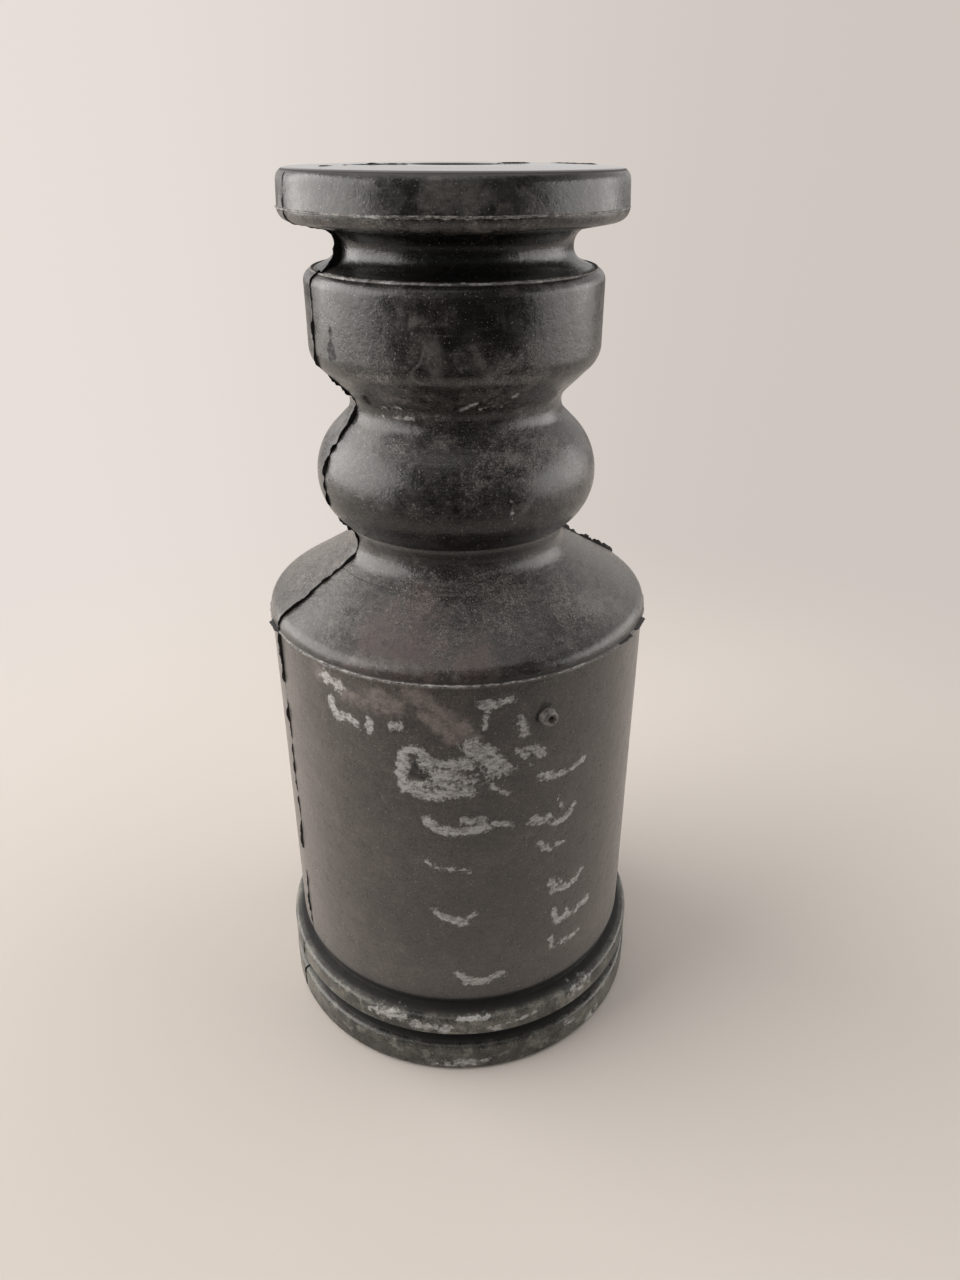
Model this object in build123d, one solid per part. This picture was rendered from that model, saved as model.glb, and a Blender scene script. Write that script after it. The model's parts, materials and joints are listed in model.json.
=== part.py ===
from build123d import *

import os
from math import cos, hypot, radians, tan

# Rubber bump stop with an integral dust sleeve, standing on the mouth of its sleeve.
#
# The real thing is one rubber moulding: a turned shape about the +Z axis. When it is squeezed, its
# thick zones stay as they are and its three narrow necks shorten, so the moulding is cut at flat
# planes beside each neck into zones that move against each other. The long root zone is cut once
# more at its sleeve and its two mouth ribs. Millimetres, origin at the centre of the mouth's foot.

# --- Radii, from the top of the moulding down ------------------------------------------------
BORE_RADIUS = 7.0           # through the whole column, for the damper rod
FLANGE_RADIUS = 26.1        # retaining flange at its moulding line
GROOVE_RADIUS = 18.1        # groove that snaps into the seat plate
COLLAR_RADIUS = 23.1        # collar that bears against the seat plate
WAIST_RADIUS = 17.2         # narrow waist under the collar
BULGE_RADIUS = 23.25        # round bulge
ROOT_RADIUS = 18.2          # narrow neck where the column leaves the shoulder
SLEEVE_RADIUS = 33.0        # outside of the dust sleeve
SLEEVE_WALL = 3.0           # thickness of the dust sleeve
SHOULDER_LIP = 0.2          # how far the shoulder overhangs the sleeve
FOOT_STEP = 0.6             # small step at the sleeve's foot
NOTCH_STANDOUT = 0.7        # floor of the notch between the ribs, beyond the sleeve
UPPER_RIB_STANDOUT = 2.2    # face of the upper mouth rib, beyond the sleeve
LOWER_RIB_STANDOUT = 2.35   # face of the lower mouth rib, beyond the sleeve

# --- Heights, from the foot up ---------------------------------------------------------------
LOWER_RIB_FACE = 6.0        # upright face of the lower rib
LOWER_RIB_LEDGE = 1.4       # its sloping upper side
NOTCH_FLOOR = 1.2           # upright floor of the notch
UPPER_RIB_UNDERSIDE = 0.9   # sloping lower side of the upper rib
UPPER_RIB_FACE = 3.9        # upright face of the upper rib
UPPER_RIB_LEDGE = 1.2       # its sloping upper side
FOOT_STEP_FACE = 1.2        # upright face of the step at the sleeve's foot
FOOT_STEP_LEDGE = 0.3       # its sloping upper side
SLEEVE_LENGTH = 67.4        # plain sleeve, up to the shoulder's moulding line
SHOULDER_FACE = 1.95        # upright edge of the shoulder
ROOF_RISE = 0.5             # inside roof of the sleeve above the shoulder's moulding line
ROOT_FACE = 3.6             # upright part of the root neck, before its corners are rounded
BULGE_FACE = 8.35           # the same for the bulge
WAIST_FACE = 2.65           # the same for the waist
COLLAR_FACE = 12.15         # the same for the collar
GROOVE_FACE = 3.85          # the same for the groove
FLANGE_LOWER_FACE = 1.55    # flange below its moulding line
FLANGE_UPPER_FACE = 5.6     # flange above its moulding line
FLANGE_DRAFT = 0.25         # how much the flange tapers in above its moulding line

# --- Slopes, in degrees above the horizontal --------------------------------------------------
SHOULDER_SLOPE = 31.5
NECK_FLANK_SLOPE = 45.0
COLLAR_TOP_SLOPE = 23.0
FLANGE_UNDERSIDE_SLOPE = 10.7

# --- Roundings --------------------------------------------------------------------------------
FOOT_ROUNDING = 1.0
RIB_ROUNDING = 0.6
NOTCH_ROUNDING = 0.4
STEP_ROUNDING = 0.15
SHOULDER_ROUNDING = 2.5
ROOT_LOWER_ROUNDING = 4.0
ROOT_UPPER_ROUNDING = 3.2
BULGE_LOWER_ROUNDING = 9.2
BULGE_UPPER_ROUNDING = 10.5
WAIST_ROUNDING = 3.1
COLLAR_LOWER_ROUNDING = 4.0
COLLAR_UPPER_ROUNDING = 2.0
GROOVE_LOWER_ROUNDING = 1.2
GROOVE_UPPER_ROUNDING = 2.6
FLANGE_LOWER_ROUNDING = 1.8
FLANGE_UPPER_ROUNDING = 2.4
BORE_MOUTH_ROUNDING = 0.5
ROOF_ROUNDING = 3.0
MOUTH_ROUNDING = 0.5
WALL_SHARE = 0.98           # the most of a wall that the roundings at its two ends may take up

# --- Gate nub, where the rubber was let into the mould ----------------------------------------
NUB_RADIUS = 1.7
NUB_HEIGHT = 1.3
NUB_DROP = 7.5              # its centre below the shoulder's moulding line
NUB_AZIMUTH = 27.0          # degrees from -Y towards +X

# --- Where the moulding is cut into zones -----------------------------------------------------
FLANK_SHARE = 0.32          # share of a neck's flank that belongs to the neck
SHOULDER_SHARE = 0.2        # share of the shoulder's cone that belongs to the root neck
COLLAR_TOP_SHARE = 0.4      # share of the collar's sloping top that belongs to the head neck
GROOVE_TOP_SHARE = 0.1      # share of the groove that belongs to the flange
CUT_MARGIN = 0.5            # distance of the sleeve's cuts from the nearest rounding


def rise(radial: float, slope: float) -> float:
    """Height that a cone of this slope gains over a radial distance."""
    return radial * tan(radians(slope))


def part_way(start: float, end: float, share: float) -> float:
    """Value at a share of the way from start to end."""
    return start + (end - start) * share


# --- Heights of the sharp corners that the outline is drawn from ------------------------------
rib_radius_low = SLEEVE_RADIUS + LOWER_RIB_STANDOUT
rib_radius_high = SLEEVE_RADIUS + UPPER_RIB_STANDOUT
notch_radius = SLEEVE_RADIUS + NOTCH_STANDOUT
step_radius = SLEEVE_RADIUS + FOOT_STEP
shoulder_radius = SLEEVE_RADIUS + SHOULDER_LIP
mouth_radius = SLEEVE_RADIUS - SLEEVE_WALL

lower_rib_top = LOWER_RIB_FACE
notch_bottom = lower_rib_top + LOWER_RIB_LEDGE
notch_top = notch_bottom + NOTCH_FLOOR
upper_rib_bottom = notch_top + UPPER_RIB_UNDERSIDE
upper_rib_top = upper_rib_bottom + UPPER_RIB_FACE
step_bottom = upper_rib_top + UPPER_RIB_LEDGE
step_top = step_bottom + FOOT_STEP_FACE
sleeve_foot = step_top + FOOT_STEP_LEDGE
shoulder_line = sleeve_foot + SLEEVE_LENGTH
roof = shoulder_line + ROOF_RISE
shoulder_edge = shoulder_line + SHOULDER_FACE
root_bottom = shoulder_edge + rise(shoulder_radius - ROOT_RADIUS, SHOULDER_SLOPE)
root_top = root_bottom + ROOT_FACE
bulge_bottom = root_top + rise(BULGE_RADIUS - ROOT_RADIUS, NECK_FLANK_SLOPE)
bulge_top = bulge_bottom + BULGE_FACE
waist_bottom = bulge_top + rise(BULGE_RADIUS - WAIST_RADIUS, NECK_FLANK_SLOPE)
waist_top = waist_bottom + WAIST_FACE
collar_bottom = waist_top + rise(COLLAR_RADIUS - WAIST_RADIUS, NECK_FLANK_SLOPE)
collar_top = collar_bottom + COLLAR_FACE
groove_bottom = collar_top + rise(COLLAR_RADIUS - GROOVE_RADIUS, COLLAR_TOP_SLOPE)
groove_top = groove_bottom + GROOVE_FACE
flange_bottom = groove_top + rise(FLANGE_RADIUS - GROOVE_RADIUS, FLANGE_UNDERSIDE_SLOPE)
flange_line = flange_bottom + FLANGE_LOWER_FACE
total_height = flange_line + FLANGE_UPPER_FACE

# --- The outline: (radius, height, rounding) of each corner, round the section ----------------
CORNERS = [
    (mouth_radius, 0.0, MOUTH_ROUNDING),
    (rib_radius_low, 0.0, FOOT_ROUNDING),
    (rib_radius_low, lower_rib_top, RIB_ROUNDING),
    (notch_radius, notch_bottom, NOTCH_ROUNDING),
    (notch_radius, notch_top, NOTCH_ROUNDING),
    (rib_radius_high, upper_rib_bottom, RIB_ROUNDING),
    (rib_radius_high, upper_rib_top, RIB_ROUNDING),
    (step_radius, step_bottom, NOTCH_ROUNDING),
    (step_radius, step_top, STEP_ROUNDING),
    (SLEEVE_RADIUS, sleeve_foot, STEP_ROUNDING),
    (SLEEVE_RADIUS, shoulder_line, 0.0),
    (shoulder_radius, shoulder_line, 0.0),
    (shoulder_radius, shoulder_edge, SHOULDER_ROUNDING),
    (ROOT_RADIUS, root_bottom, ROOT_LOWER_ROUNDING),
    (ROOT_RADIUS, root_top, ROOT_UPPER_ROUNDING),
    (BULGE_RADIUS, bulge_bottom, BULGE_LOWER_ROUNDING),
    (BULGE_RADIUS, bulge_top, BULGE_UPPER_ROUNDING),
    (WAIST_RADIUS, waist_bottom, WAIST_ROUNDING),
    (WAIST_RADIUS, waist_top, WAIST_ROUNDING),
    (COLLAR_RADIUS, collar_bottom, COLLAR_LOWER_ROUNDING),
    (COLLAR_RADIUS, collar_top, COLLAR_UPPER_ROUNDING),
    (GROOVE_RADIUS, groove_bottom, GROOVE_LOWER_ROUNDING),
    (GROOVE_RADIUS, groove_top, GROOVE_UPPER_ROUNDING),
    (FLANGE_RADIUS, flange_bottom, FLANGE_LOWER_ROUNDING),
    (FLANGE_RADIUS, flange_line, 0.0),
    (FLANGE_RADIUS - FLANGE_DRAFT, total_height, FLANGE_UPPER_ROUNDING),
    (BORE_RADIUS, total_height, BORE_MOUTH_ROUNDING),
    (BORE_RADIUS, roof, 0.0),
    (mouth_radius, roof, ROOF_ROUNDING),
]


def setbacks(corners: list) -> list:
    """How far each corner's rounding reaches along its walls, for each millimetre of radius."""
    found = []
    for index, (radius, height, _) in enumerate(corners):
        before, after = corners[index - 1], corners[(index + 1) % len(corners)]
        arm_in = (radius - before[0], height - before[1])
        arm_out = (after[0] - radius, after[1] - height)
        dot = arm_in[0] * arm_out[0] + arm_in[1] * arm_out[1]
        cross = arm_in[0] * arm_out[1] - arm_in[1] * arm_out[0]
        found.append(abs(cross) / (hypot(*arm_in) * hypot(*arm_out) + dot))
    return found


def fitted_roundings(corners: list) -> list:
    """Each corner's rounding, made smaller where a wall is too short for those at its two ends."""
    reach = setbacks(corners)
    fitted = [rounding for _, _, rounding in corners]
    for index, corner in enumerate(corners):
        other = (index + 1) % len(corners)
        wall = hypot(corners[other][0] - corner[0], corners[other][1] - corner[1])
        wanted = corner[2] * reach[index] + corners[other][2] * reach[other]
        if wanted > wall * WALL_SHARE:
            share = wall * WALL_SHARE / wanted
            fitted[index] = min(fitted[index], corner[2] * share)
            fitted[other] = min(fitted[other], corners[other][2] * share)
    return fitted


def make_moulding() -> Solid:
    """The whole rubber moulding, turned about +Z from its outline."""
    points = [(radius, 0.0, height) for radius, height, _ in CORNERS]
    outline = FilletPolyline(*points, radius=fitted_roundings(CORNERS), close=True)
    return revolve(make_face(outline.edges()), axis=Axis.Z).solid()


def zone(body: Solid, bottom: float, top: float) -> Solid:
    """The slice of the moulding between two heights."""
    slab = Cylinder(2 * rib_radius_low, top - bottom, align=(Align.CENTER, Align.CENTER, Align.MIN))
    return (body & Pos(0, 0, bottom) * slab).solid()


def make_gate_nub() -> Solid:
    """Round nub that stands on the sleeve's wall, with its foot curved to the wall."""
    stem = Cylinder(NUB_RADIUS, SLEEVE_RADIUS + NUB_HEIGHT, align=(Align.CENTER, Align.CENTER, Align.MIN))
    placed = Pos(0, 0, shoulder_line - NUB_DROP) * Rot(0, 0, NUB_AZIMUTH) * Rot(90, 0, 0) * stem
    return (placed - Cylinder(SLEEVE_RADIUS, 2 * total_height)).solid()


# --- Cut heights, from the foot up ------------------------------------------------------------
rib_cut = part_way(notch_bottom, notch_top, 0.5)
sleeve_cut = sleeve_foot + CUT_MARGIN
shoulder_cut = roof - ROOF_ROUNDING - CUT_MARGIN
root_neck_foot = part_way(root_bottom, shoulder_edge, SHOULDER_SHARE)
root_neck_head = part_way(root_top, bulge_bottom, FLANK_SHARE)
waist_neck_foot = part_way(waist_bottom, bulge_top, FLANK_SHARE)
waist_neck_head = part_way(waist_top, collar_bottom, FLANK_SHARE)
head_neck_foot = part_way(groove_bottom, collar_top, COLLAR_TOP_SHARE)
head_neck_head = part_way(groove_top, groove_bottom, GROOVE_TOP_SHARE)

ZONES = {
    "lower_rib": (0.0, rib_cut),
    "upper_rib": (rib_cut, sleeve_cut),
    "dust_sleeve": (sleeve_cut, shoulder_cut),
    "shoulder": (shoulder_cut, root_neck_foot),
    "root_neck": (root_neck_foot, root_neck_head),
    "bulge": (root_neck_head, waist_neck_foot),
    "waist_neck": (waist_neck_foot, waist_neck_head),
    "collar": (waist_neck_head, head_neck_foot),
    "head_neck": (head_neck_foot, head_neck_head),
    "flange": (head_neck_head, total_height),
}


def main() -> None:
    """Write each zone and the gate nub as its own STEP file."""
    os.makedirs("parts", exist_ok=True)
    moulding = make_moulding()
    for name, (bottom, top) in ZONES.items():
        export_step(zone(moulding, bottom, top), f"parts/{name}.step")
        print(f"{name:12s} from {bottom:8.3f} to {top:8.3f} mm")
    export_step(make_gate_nub(), "parts/gate_nub.step")
    print(f"total height {total_height:.3f} mm, roof of the sleeve at {roof:.3f} mm")


main()
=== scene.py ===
"""Looks of a moulded rubber bump stop with an integral dust sleeve.

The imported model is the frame. Every zone of the moulding is turned again from the same named
sizes, with finer rings and a little unevenness. The thin ragged flash that the two mould halves
left is laid along the outline, and a chalky film, dust, scuffs and smudges lie on the rubber.
"""

import json
import logging
import math
from dataclasses import dataclass, field
from enum import Enum

import bmesh
import bpy
import numpy as np
from mathutils import Euler, Matrix, Vector

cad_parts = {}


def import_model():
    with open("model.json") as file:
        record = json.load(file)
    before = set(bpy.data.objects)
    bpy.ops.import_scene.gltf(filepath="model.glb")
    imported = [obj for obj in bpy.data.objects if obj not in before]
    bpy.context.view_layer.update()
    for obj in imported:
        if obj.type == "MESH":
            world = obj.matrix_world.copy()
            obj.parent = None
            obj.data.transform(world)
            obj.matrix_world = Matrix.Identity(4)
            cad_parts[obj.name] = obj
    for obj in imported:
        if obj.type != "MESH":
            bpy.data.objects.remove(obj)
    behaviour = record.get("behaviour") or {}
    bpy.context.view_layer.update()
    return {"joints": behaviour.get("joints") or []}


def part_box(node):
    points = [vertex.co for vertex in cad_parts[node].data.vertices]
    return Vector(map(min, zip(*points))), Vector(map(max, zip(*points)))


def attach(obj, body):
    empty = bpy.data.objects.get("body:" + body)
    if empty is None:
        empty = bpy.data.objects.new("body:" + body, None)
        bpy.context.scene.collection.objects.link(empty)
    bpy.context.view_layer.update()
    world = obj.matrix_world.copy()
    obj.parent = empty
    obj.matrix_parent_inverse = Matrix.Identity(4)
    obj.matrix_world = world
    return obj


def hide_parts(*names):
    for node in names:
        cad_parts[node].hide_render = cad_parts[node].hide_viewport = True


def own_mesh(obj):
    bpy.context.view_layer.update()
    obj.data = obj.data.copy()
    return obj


LOG = logging.getLogger("bump_stop")
MM = 0.001                      # metres in a millimetre
SWEEP_RADIUS = 1.0 * MM         # circle that every section is swept round
LEVEL = 1e-9                    # metres of rise below which a run is level
SAME_PLACE = 1e-7               # metres below which points are merged
APART = 1e-6                    # metres above which points of an outline are two
SMOOTH_BELOW = math.radians(38.0)       # the turned rubber's edges are smooth up to this turn
FIN_SMOOTH_BELOW = math.radians(45.0)   # and the flash's up to this one
Colour = tuple[float, float, float]
Socket = bpy.types.NodeSocket


# --- Node trees ------------------------------------------------------------------------------


@dataclass(frozen=True)
class Pattern:
    """A noise pattern: waves in a metre, finer layers and their strength, its slice of the
    noise, and the values that count as none and as full."""

    scale: object
    detail: float = 2.0
    roughness: float = 0.5
    seed: object = 0.0
    none: float = 0.36
    full: float = 0.66


class TreeWriter:
    """Adds nodes to a tree and links them, in shader trees and geometry trees alike."""

    def __init__(self, tree: bpy.types.NodeTree) -> None:
        """Take the tree to write in.

        Args:
            tree: An empty node tree.
        """
        self.tree = tree

    def feed(self, socket: Socket, value: object) -> None:
        """Link a socket to another, or give it a plain value.

        Args:
            socket: The input that is fed.
            value: Another node's output, or a number, vector, colour or datablock.
        """
        if isinstance(value, bpy.types.NodeSocket):
            self.tree.links.new(value, socket)
        else:
            socket.default_value = value

    def node(self, kind: str, inputs: dict | None = None, **settings: object) -> bpy.types.Node:
        """Add one node.

        Args:
            kind: The node's type.
            inputs: Values or sockets by input name or index.
            **settings: The node's own properties.

        Returns:
            The new node.
        """
        node = self.tree.nodes.new(kind)
        for name, value in settings.items():
            setattr(node, name, value)
        for key, value in (inputs or {}).items():
            self.feed(node.inputs[key], value)
        return node

    def math(self, operation: str, *values: object, clamp: bool = False) -> Socket:
        """Add a Math node and return its result."""
        inputs = dict(enumerate(values))
        return self.node("ShaderNodeMath", inputs, operation=operation, use_clamp=clamp).outputs[0]

    def plus(self, first: object, second: object) -> Socket:
        """Add two numbers."""
        return self.math("ADD", first, second)

    def less(self, first: object, second: object) -> Socket:
        """Take the second number from the first."""
        return self.math("SUBTRACT", first, second)

    def times(self, first: object, second: object) -> Socket:
        """Multiply two numbers."""
        return self.math("MULTIPLY", first, second)

    def swing(self, value: object, width: object) -> Socket:
        """Turn a pattern about one half into a swing of this width about nought."""
        return self.times(self.less(value, 0.5), width)

    def blend(self, *parts: tuple[object, object]) -> Socket:
        """Add up values, each times its weight."""
        total = self.times(*parts[0])
        for value, weight in parts[1:]:
            total = self.plus(total, self.times(value, weight))
        return total

    def vector(self, operation: str, *values: object) -> Socket:
        """Add a Vector Math node and return its vector."""
        inputs = dict(enumerate(values))
        return self.node("ShaderNodeVectorMath", inputs, operation=operation).outputs["Vector"]

    def scaled(self, vector: object, scale: object) -> Socket:
        """Add a node that scales a vector and return the result."""
        inputs = {0: vector, "Scale": scale}
        return self.node("ShaderNodeVectorMath", inputs, operation="SCALE").outputs["Vector"]

    def ease(self, value: object, low: float, high: float, to_low: object = 0.0,
             to_high: object = 1.0) -> Socket:
        """Bring a value from one range to another, smoothly and held at both ends.

        Args:
            value: The value to bring over.
            low: Where the result is to_low.
            high: Where the result is to_high.
            to_low: Result at low.
            to_high: Result at high.

        Returns:
            The result's socket.
        """
        inputs = {0: value, 1: low, 2: high, 3: to_low, 4: to_high}
        return self.node("ShaderNodeMapRange", inputs, interpolation_type="SMOOTHSTEP").outputs[0]

    def mix(self, share: object, first: object, second: object) -> Socket:
        """Mix two numbers by a share and return the result."""
        node = self.node("ShaderNodeMix", {0: share, 2: first, 3: second}, data_type="FLOAT")
        return node.outputs[0]

    def tint(self, share: object, first: object, second: object) -> Socket:
        """Mix two colours by a share.

        Args:
            share: How much of the second shows.
            first: The colour below.
            second: The colour above.

        Returns:
            The mixed colour.
        """
        paints = [value if isinstance(value, bpy.types.NodeSocket) else (*value, 1.0)
                  for value in (first, second)]
        node = self.node("ShaderNodeMix", {0: share, 6: paints[0], 7: paints[1]},
                         data_type="RGBA")
        return node.outputs[2]

    def noise(self, place: object, pattern: Pattern) -> Socket:
        """Add a noise pattern and return its value, about one half on average."""
        inputs = {"Vector": place, "W": pattern.seed, "Scale": pattern.scale,
                  "Detail": pattern.detail, "Roughness": pattern.roughness}
        return self.node("ShaderNodeTexNoise", inputs, noise_dimensions="4D").outputs[0]

    def spread(self, place: object, pattern: Pattern) -> Socket:
        """Add a noise pattern and spread it from its none to its full."""
        return self.ease(self.noise(place, pattern), pattern.none, pattern.full)

    def attribute(self, label: str) -> Socket:
        """Read a number that the mesh carries."""
        return self.node("ShaderNodeAttribute", attribute_name=label).outputs["Fac"]

    def carried(self, label: str, kind: str = "FLOAT") -> Socket:
        """Read, in a geometry tree, what the mesh carries under a name."""
        return self.node("GeometryNodeInputNamedAttribute", {"Name": label},
                         data_type=kind).outputs[0]


def started(owner: bpy.types.Material | bpy.types.World) -> TreeWriter:
    """Empty the node tree of a material or a world and return its writer."""
    owner.use_nodes = True
    owner.node_tree.nodes.clear()
    return TreeWriter(owner.node_tree)


def new_geometry_tree(name: str, sockets: dict[str, str]) -> tuple[TreeWriter, bpy.types.Node]:
    """Start a geometry tree with named inputs and one geometry output.

    Args:
        name: The tree's name.
        sockets: Socket type of each input by its name, the geometry first.

    Returns:
        The tree's writer and its input node.
    """
    tree = bpy.data.node_groups.new(name, "GeometryNodeTree")
    for label, kind in sockets.items():
        tree.interface.new_socket(label, in_out="INPUT", socket_type=kind)
    tree.interface.new_socket("Geometry", in_out="OUTPUT", socket_type="NodeSocketGeometry")
    writer = TreeWriter(tree)
    return writer, writer.node("NodeGroupInput")


def end_geometry_tree(writer: TreeWriter, shape: Socket, sharp_angle: float,
                      material: Socket) -> None:
    """Shade, realize and dress the shape, and send it out of the tree.

    Args:
        writer: The tree's writer.
        shape: The finished mesh.
        sharp_angle: Edges that turn more than this, in radians, stay sharp.
        material: The material input.
    """
    smooth = writer.node("GeometryNodeSetShadeSmooth", {0: shape, 2: True}, domain="FACE")
    angle = writer.node("GeometryNodeInputMeshEdgeAngle").outputs["Unsigned Angle"]
    sharp = writer.node("FunctionNodeCompare", {0: angle, 1: sharp_angle},
                        data_type="FLOAT", operation="GREATER_THAN").outputs[0]
    edged = writer.node("GeometryNodeSetShadeSmooth", {0: smooth.outputs[0], 1: sharp, 2: False},
                        domain="EDGE")
    whole = writer.node("GeometryNodeRealizeInstances", {0: edged.outputs[0]})
    dressed = writer.node("GeometryNodeSetMaterial", {0: whole.outputs[0], "Material": material})
    writer.node("NodeGroupOutput", {0: dressed.outputs[0]})


def grow(name: str, base: bpy.types.Mesh, tree: bpy.types.NodeTree,
         values: dict[str, object]) -> bpy.types.Object:
    """Run a geometry tree on a base mesh and keep the plain mesh that it makes.

    Args:
        name: The piece's name.
        base: The mesh that the tree starts from.
        tree: The geometry tree.
        values: The tree's inputs by name.

    Returns:
        The finished object, with no modifier left.
    """
    piece = bpy.data.objects.new(name, base)
    bpy.context.scene.collection.objects.link(piece)
    modifier = piece.modifiers.new("making", "NODES")
    modifier.node_group = tree
    identifiers = {item.name: item.identifier for item in tree.interface.items_tree
                   if item.in_out == "INPUT"}
    for label, value in values.items():
        modifier[identifiers[label]] = value
    evaluated = piece.evaluated_get(bpy.context.evaluated_depsgraph_get())
    made = bpy.data.meshes.new_from_object(evaluated)
    made.name = name
    while None in list(made.materials):
        made.materials.pop(index=list(made.materials).index(None))
    piece.modifiers.clear()
    piece.data = made
    bpy.data.meshes.remove(base)
    return piece


def points_of(mesh: bpy.types.Mesh) -> np.ndarray:
    """Read a mesh's points in millimetres, as rows of x, y and z."""
    places = np.empty(len(mesh.vertices) * 3)
    mesh.vertices.foreach_get("co", places)
    return places.reshape(-1, 3).T / MM


def carry(mesh: bpy.types.Mesh, label: str, amounts: np.ndarray) -> None:
    """Write a number for each point of a mesh under a name."""
    layer = mesh.attributes.new(label, "FLOAT", "POINT")
    layer.data.foreach_set("value", amounts)


def spoke_at(turn: float) -> Vector:
    """The way out from the axis at a turn in radians from -Y towards +X."""
    return Vector((math.sin(turn), -math.cos(turn), 0.0))


def facing_out(mesh: bpy.types.Mesh) -> None:
    """Turn a closed mesh's faces round if they point inwards.

    Args:
        mesh: The mesh to look at and mend.
    """
    shape = bmesh.new()
    shape.from_mesh(mesh)
    if shape.calc_volume(signed=True) < 0:
        bmesh.ops.reverse_faces(shape, faces=shape.faces)
        shape.to_mesh(mesh)
    shape.free()


# --- Sizes and outline of the moulding -------------------------------------------------------


@dataclass(frozen=True)
class Corner:
    """One corner of the moulding's section, in millimetres."""

    radius: float
    height: float
    rounding: float = 0.0


def rise(radial: float, slope: float) -> float:
    """Height that a cone of this slope, in degrees, gains over a radial distance."""
    return radial * math.tan(math.radians(slope))


@dataclass(frozen=True)
class MouldingSizes:
    """Sizes of the moulding in millimetres, and its slopes in degrees."""

    bore_radius: float = 7.0
    flange_radius: float = 26.1
    groove_radius: float = 18.1
    collar_radius: float = 23.1
    waist_radius: float = 17.2
    bulge_radius: float = 23.25
    root_radius: float = 18.2
    sleeve_radius: float = 33.0
    mouth_radius: float = 30.0
    shoulder_radius: float = 33.2
    step_radius: float = 33.6
    notch_radius: float = 33.7
    upper_rib_radius: float = 35.2
    lower_rib_radius: float = 35.35
    lower_rib_top: float = 6.0
    notch_bottom: float = 7.4
    notch_top: float = 8.6
    upper_rib_bottom: float = 9.5
    upper_rib_top: float = 13.4
    step_bottom: float = 14.6
    step_top: float = 15.8
    sleeve_foot: float = 16.1
    shoulder_line: float = 83.5
    roof: float = 84.0
    shoulder_face: float = 1.95
    root_face: float = 3.6
    bulge_face: float = 8.35
    waist_face: float = 2.65
    collar_face: float = 12.15
    groove_face: float = 3.85
    flange_lower_face: float = 1.55
    flange_upper_face: float = 5.6
    flange_draft: float = 0.25
    rim_radius: float = 21.8
    crease: float = 1.5
    bead: float = 0.12
    shoulder_slope: float = 31.5
    flank_slope: float = 45.0
    collar_top_slope: float = 23.0
    underside_slope: float = 10.7

    def corners(self) -> list[Corner]:
        """Work out the corners round the section.

        Returns:
            The corners from the mouth's inner edge up the outside and down the bore.
        """
        shoulder_edge = self.shoulder_line + self.shoulder_face
        root = shoulder_edge + rise(self.shoulder_radius - self.root_radius, self.shoulder_slope)
        root_top = root + self.root_face
        bulge = root_top + rise(self.bulge_radius - self.root_radius, self.flank_slope)
        bulge_top = bulge + self.bulge_face
        waist = bulge_top + rise(self.bulge_radius - self.waist_radius, self.flank_slope)
        waist_top = waist + self.waist_face
        collar = waist_top + rise(self.collar_radius - self.waist_radius, self.flank_slope)
        collar_top = collar + self.collar_face
        groove = collar_top + rise(self.collar_radius - self.groove_radius, self.collar_top_slope)
        rim = collar_top + rise(self.collar_radius - self.rim_radius, self.collar_top_slope)
        groove_top = groove + self.groove_face
        flange = groove_top + rise(self.flange_radius - self.groove_radius, self.underside_slope)
        line = flange + self.flange_lower_face
        top = line + self.flange_upper_face
        return [
            Corner(self.mouth_radius, 0.0, 0.5),
            Corner(self.lower_rib_radius, 0.0, 1.0),
            Corner(self.lower_rib_radius, self.lower_rib_top, 0.9),
            Corner(self.notch_radius - self.crease, self.notch_bottom - 0.5, 0.5),
            Corner(self.notch_radius - self.crease, self.notch_top, 0.5),
            Corner(self.upper_rib_radius, self.upper_rib_bottom, 0.6),
            Corner(self.upper_rib_radius, self.upper_rib_top, 0.9),
            Corner(self.step_radius - self.crease, self.step_bottom - 0.5, 0.5),
            Corner(self.step_radius - self.crease, self.step_top - 0.6, 0.5),
            Corner(self.sleeve_radius, self.sleeve_foot + 0.1, 0.5),
            Corner(self.sleeve_radius, self.shoulder_line - 0.12, 0.05),
            Corner(self.shoulder_radius + self.bead, self.shoulder_line, 0.1),
            Corner(self.shoulder_radius + self.bead, self.shoulder_line + 0.16, 0.1),
            Corner(self.shoulder_radius - 0.1, self.shoulder_line + 0.42, 0.15),
            Corner(self.shoulder_radius, shoulder_edge, 2.5),
            Corner(self.root_radius, root, 4.0),
            Corner(self.root_radius, root_top, 3.2),
            Corner(self.bulge_radius, bulge, 9.2),
            Corner(self.bulge_radius, bulge_top, 10.5),
            Corner(self.waist_radius, waist, 3.1),
            Corner(self.waist_radius, waist_top, 3.1),
            Corner(self.collar_radius, collar, 4.0),
            Corner(self.collar_radius, collar_top, 2.0),
            Corner(self.rim_radius + 0.20, rim - 0.08, 0.05),
            Corner(self.rim_radius + 0.10, rim + 0.14, 0.08),
            Corner(self.rim_radius - 0.10, rim + 0.14, 0.08),
            Corner(self.rim_radius - 0.26, rim - 0.04, 0.3),
            Corner(self.groove_radius, groove, 2.3),
            Corner(self.groove_radius, groove_top, 2.6),
            Corner(self.flange_radius, flange, 1.8),
            Corner(self.flange_radius, line),
            Corner(self.flange_radius - self.flange_draft, top - 0.42, 1.7),
            Corner(self.bore_radius, top - 0.12, 0.5),
            Corner(self.bore_radius, self.roof),
            Corner(self.mouth_radius, self.roof, 3.0),
        ]


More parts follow.
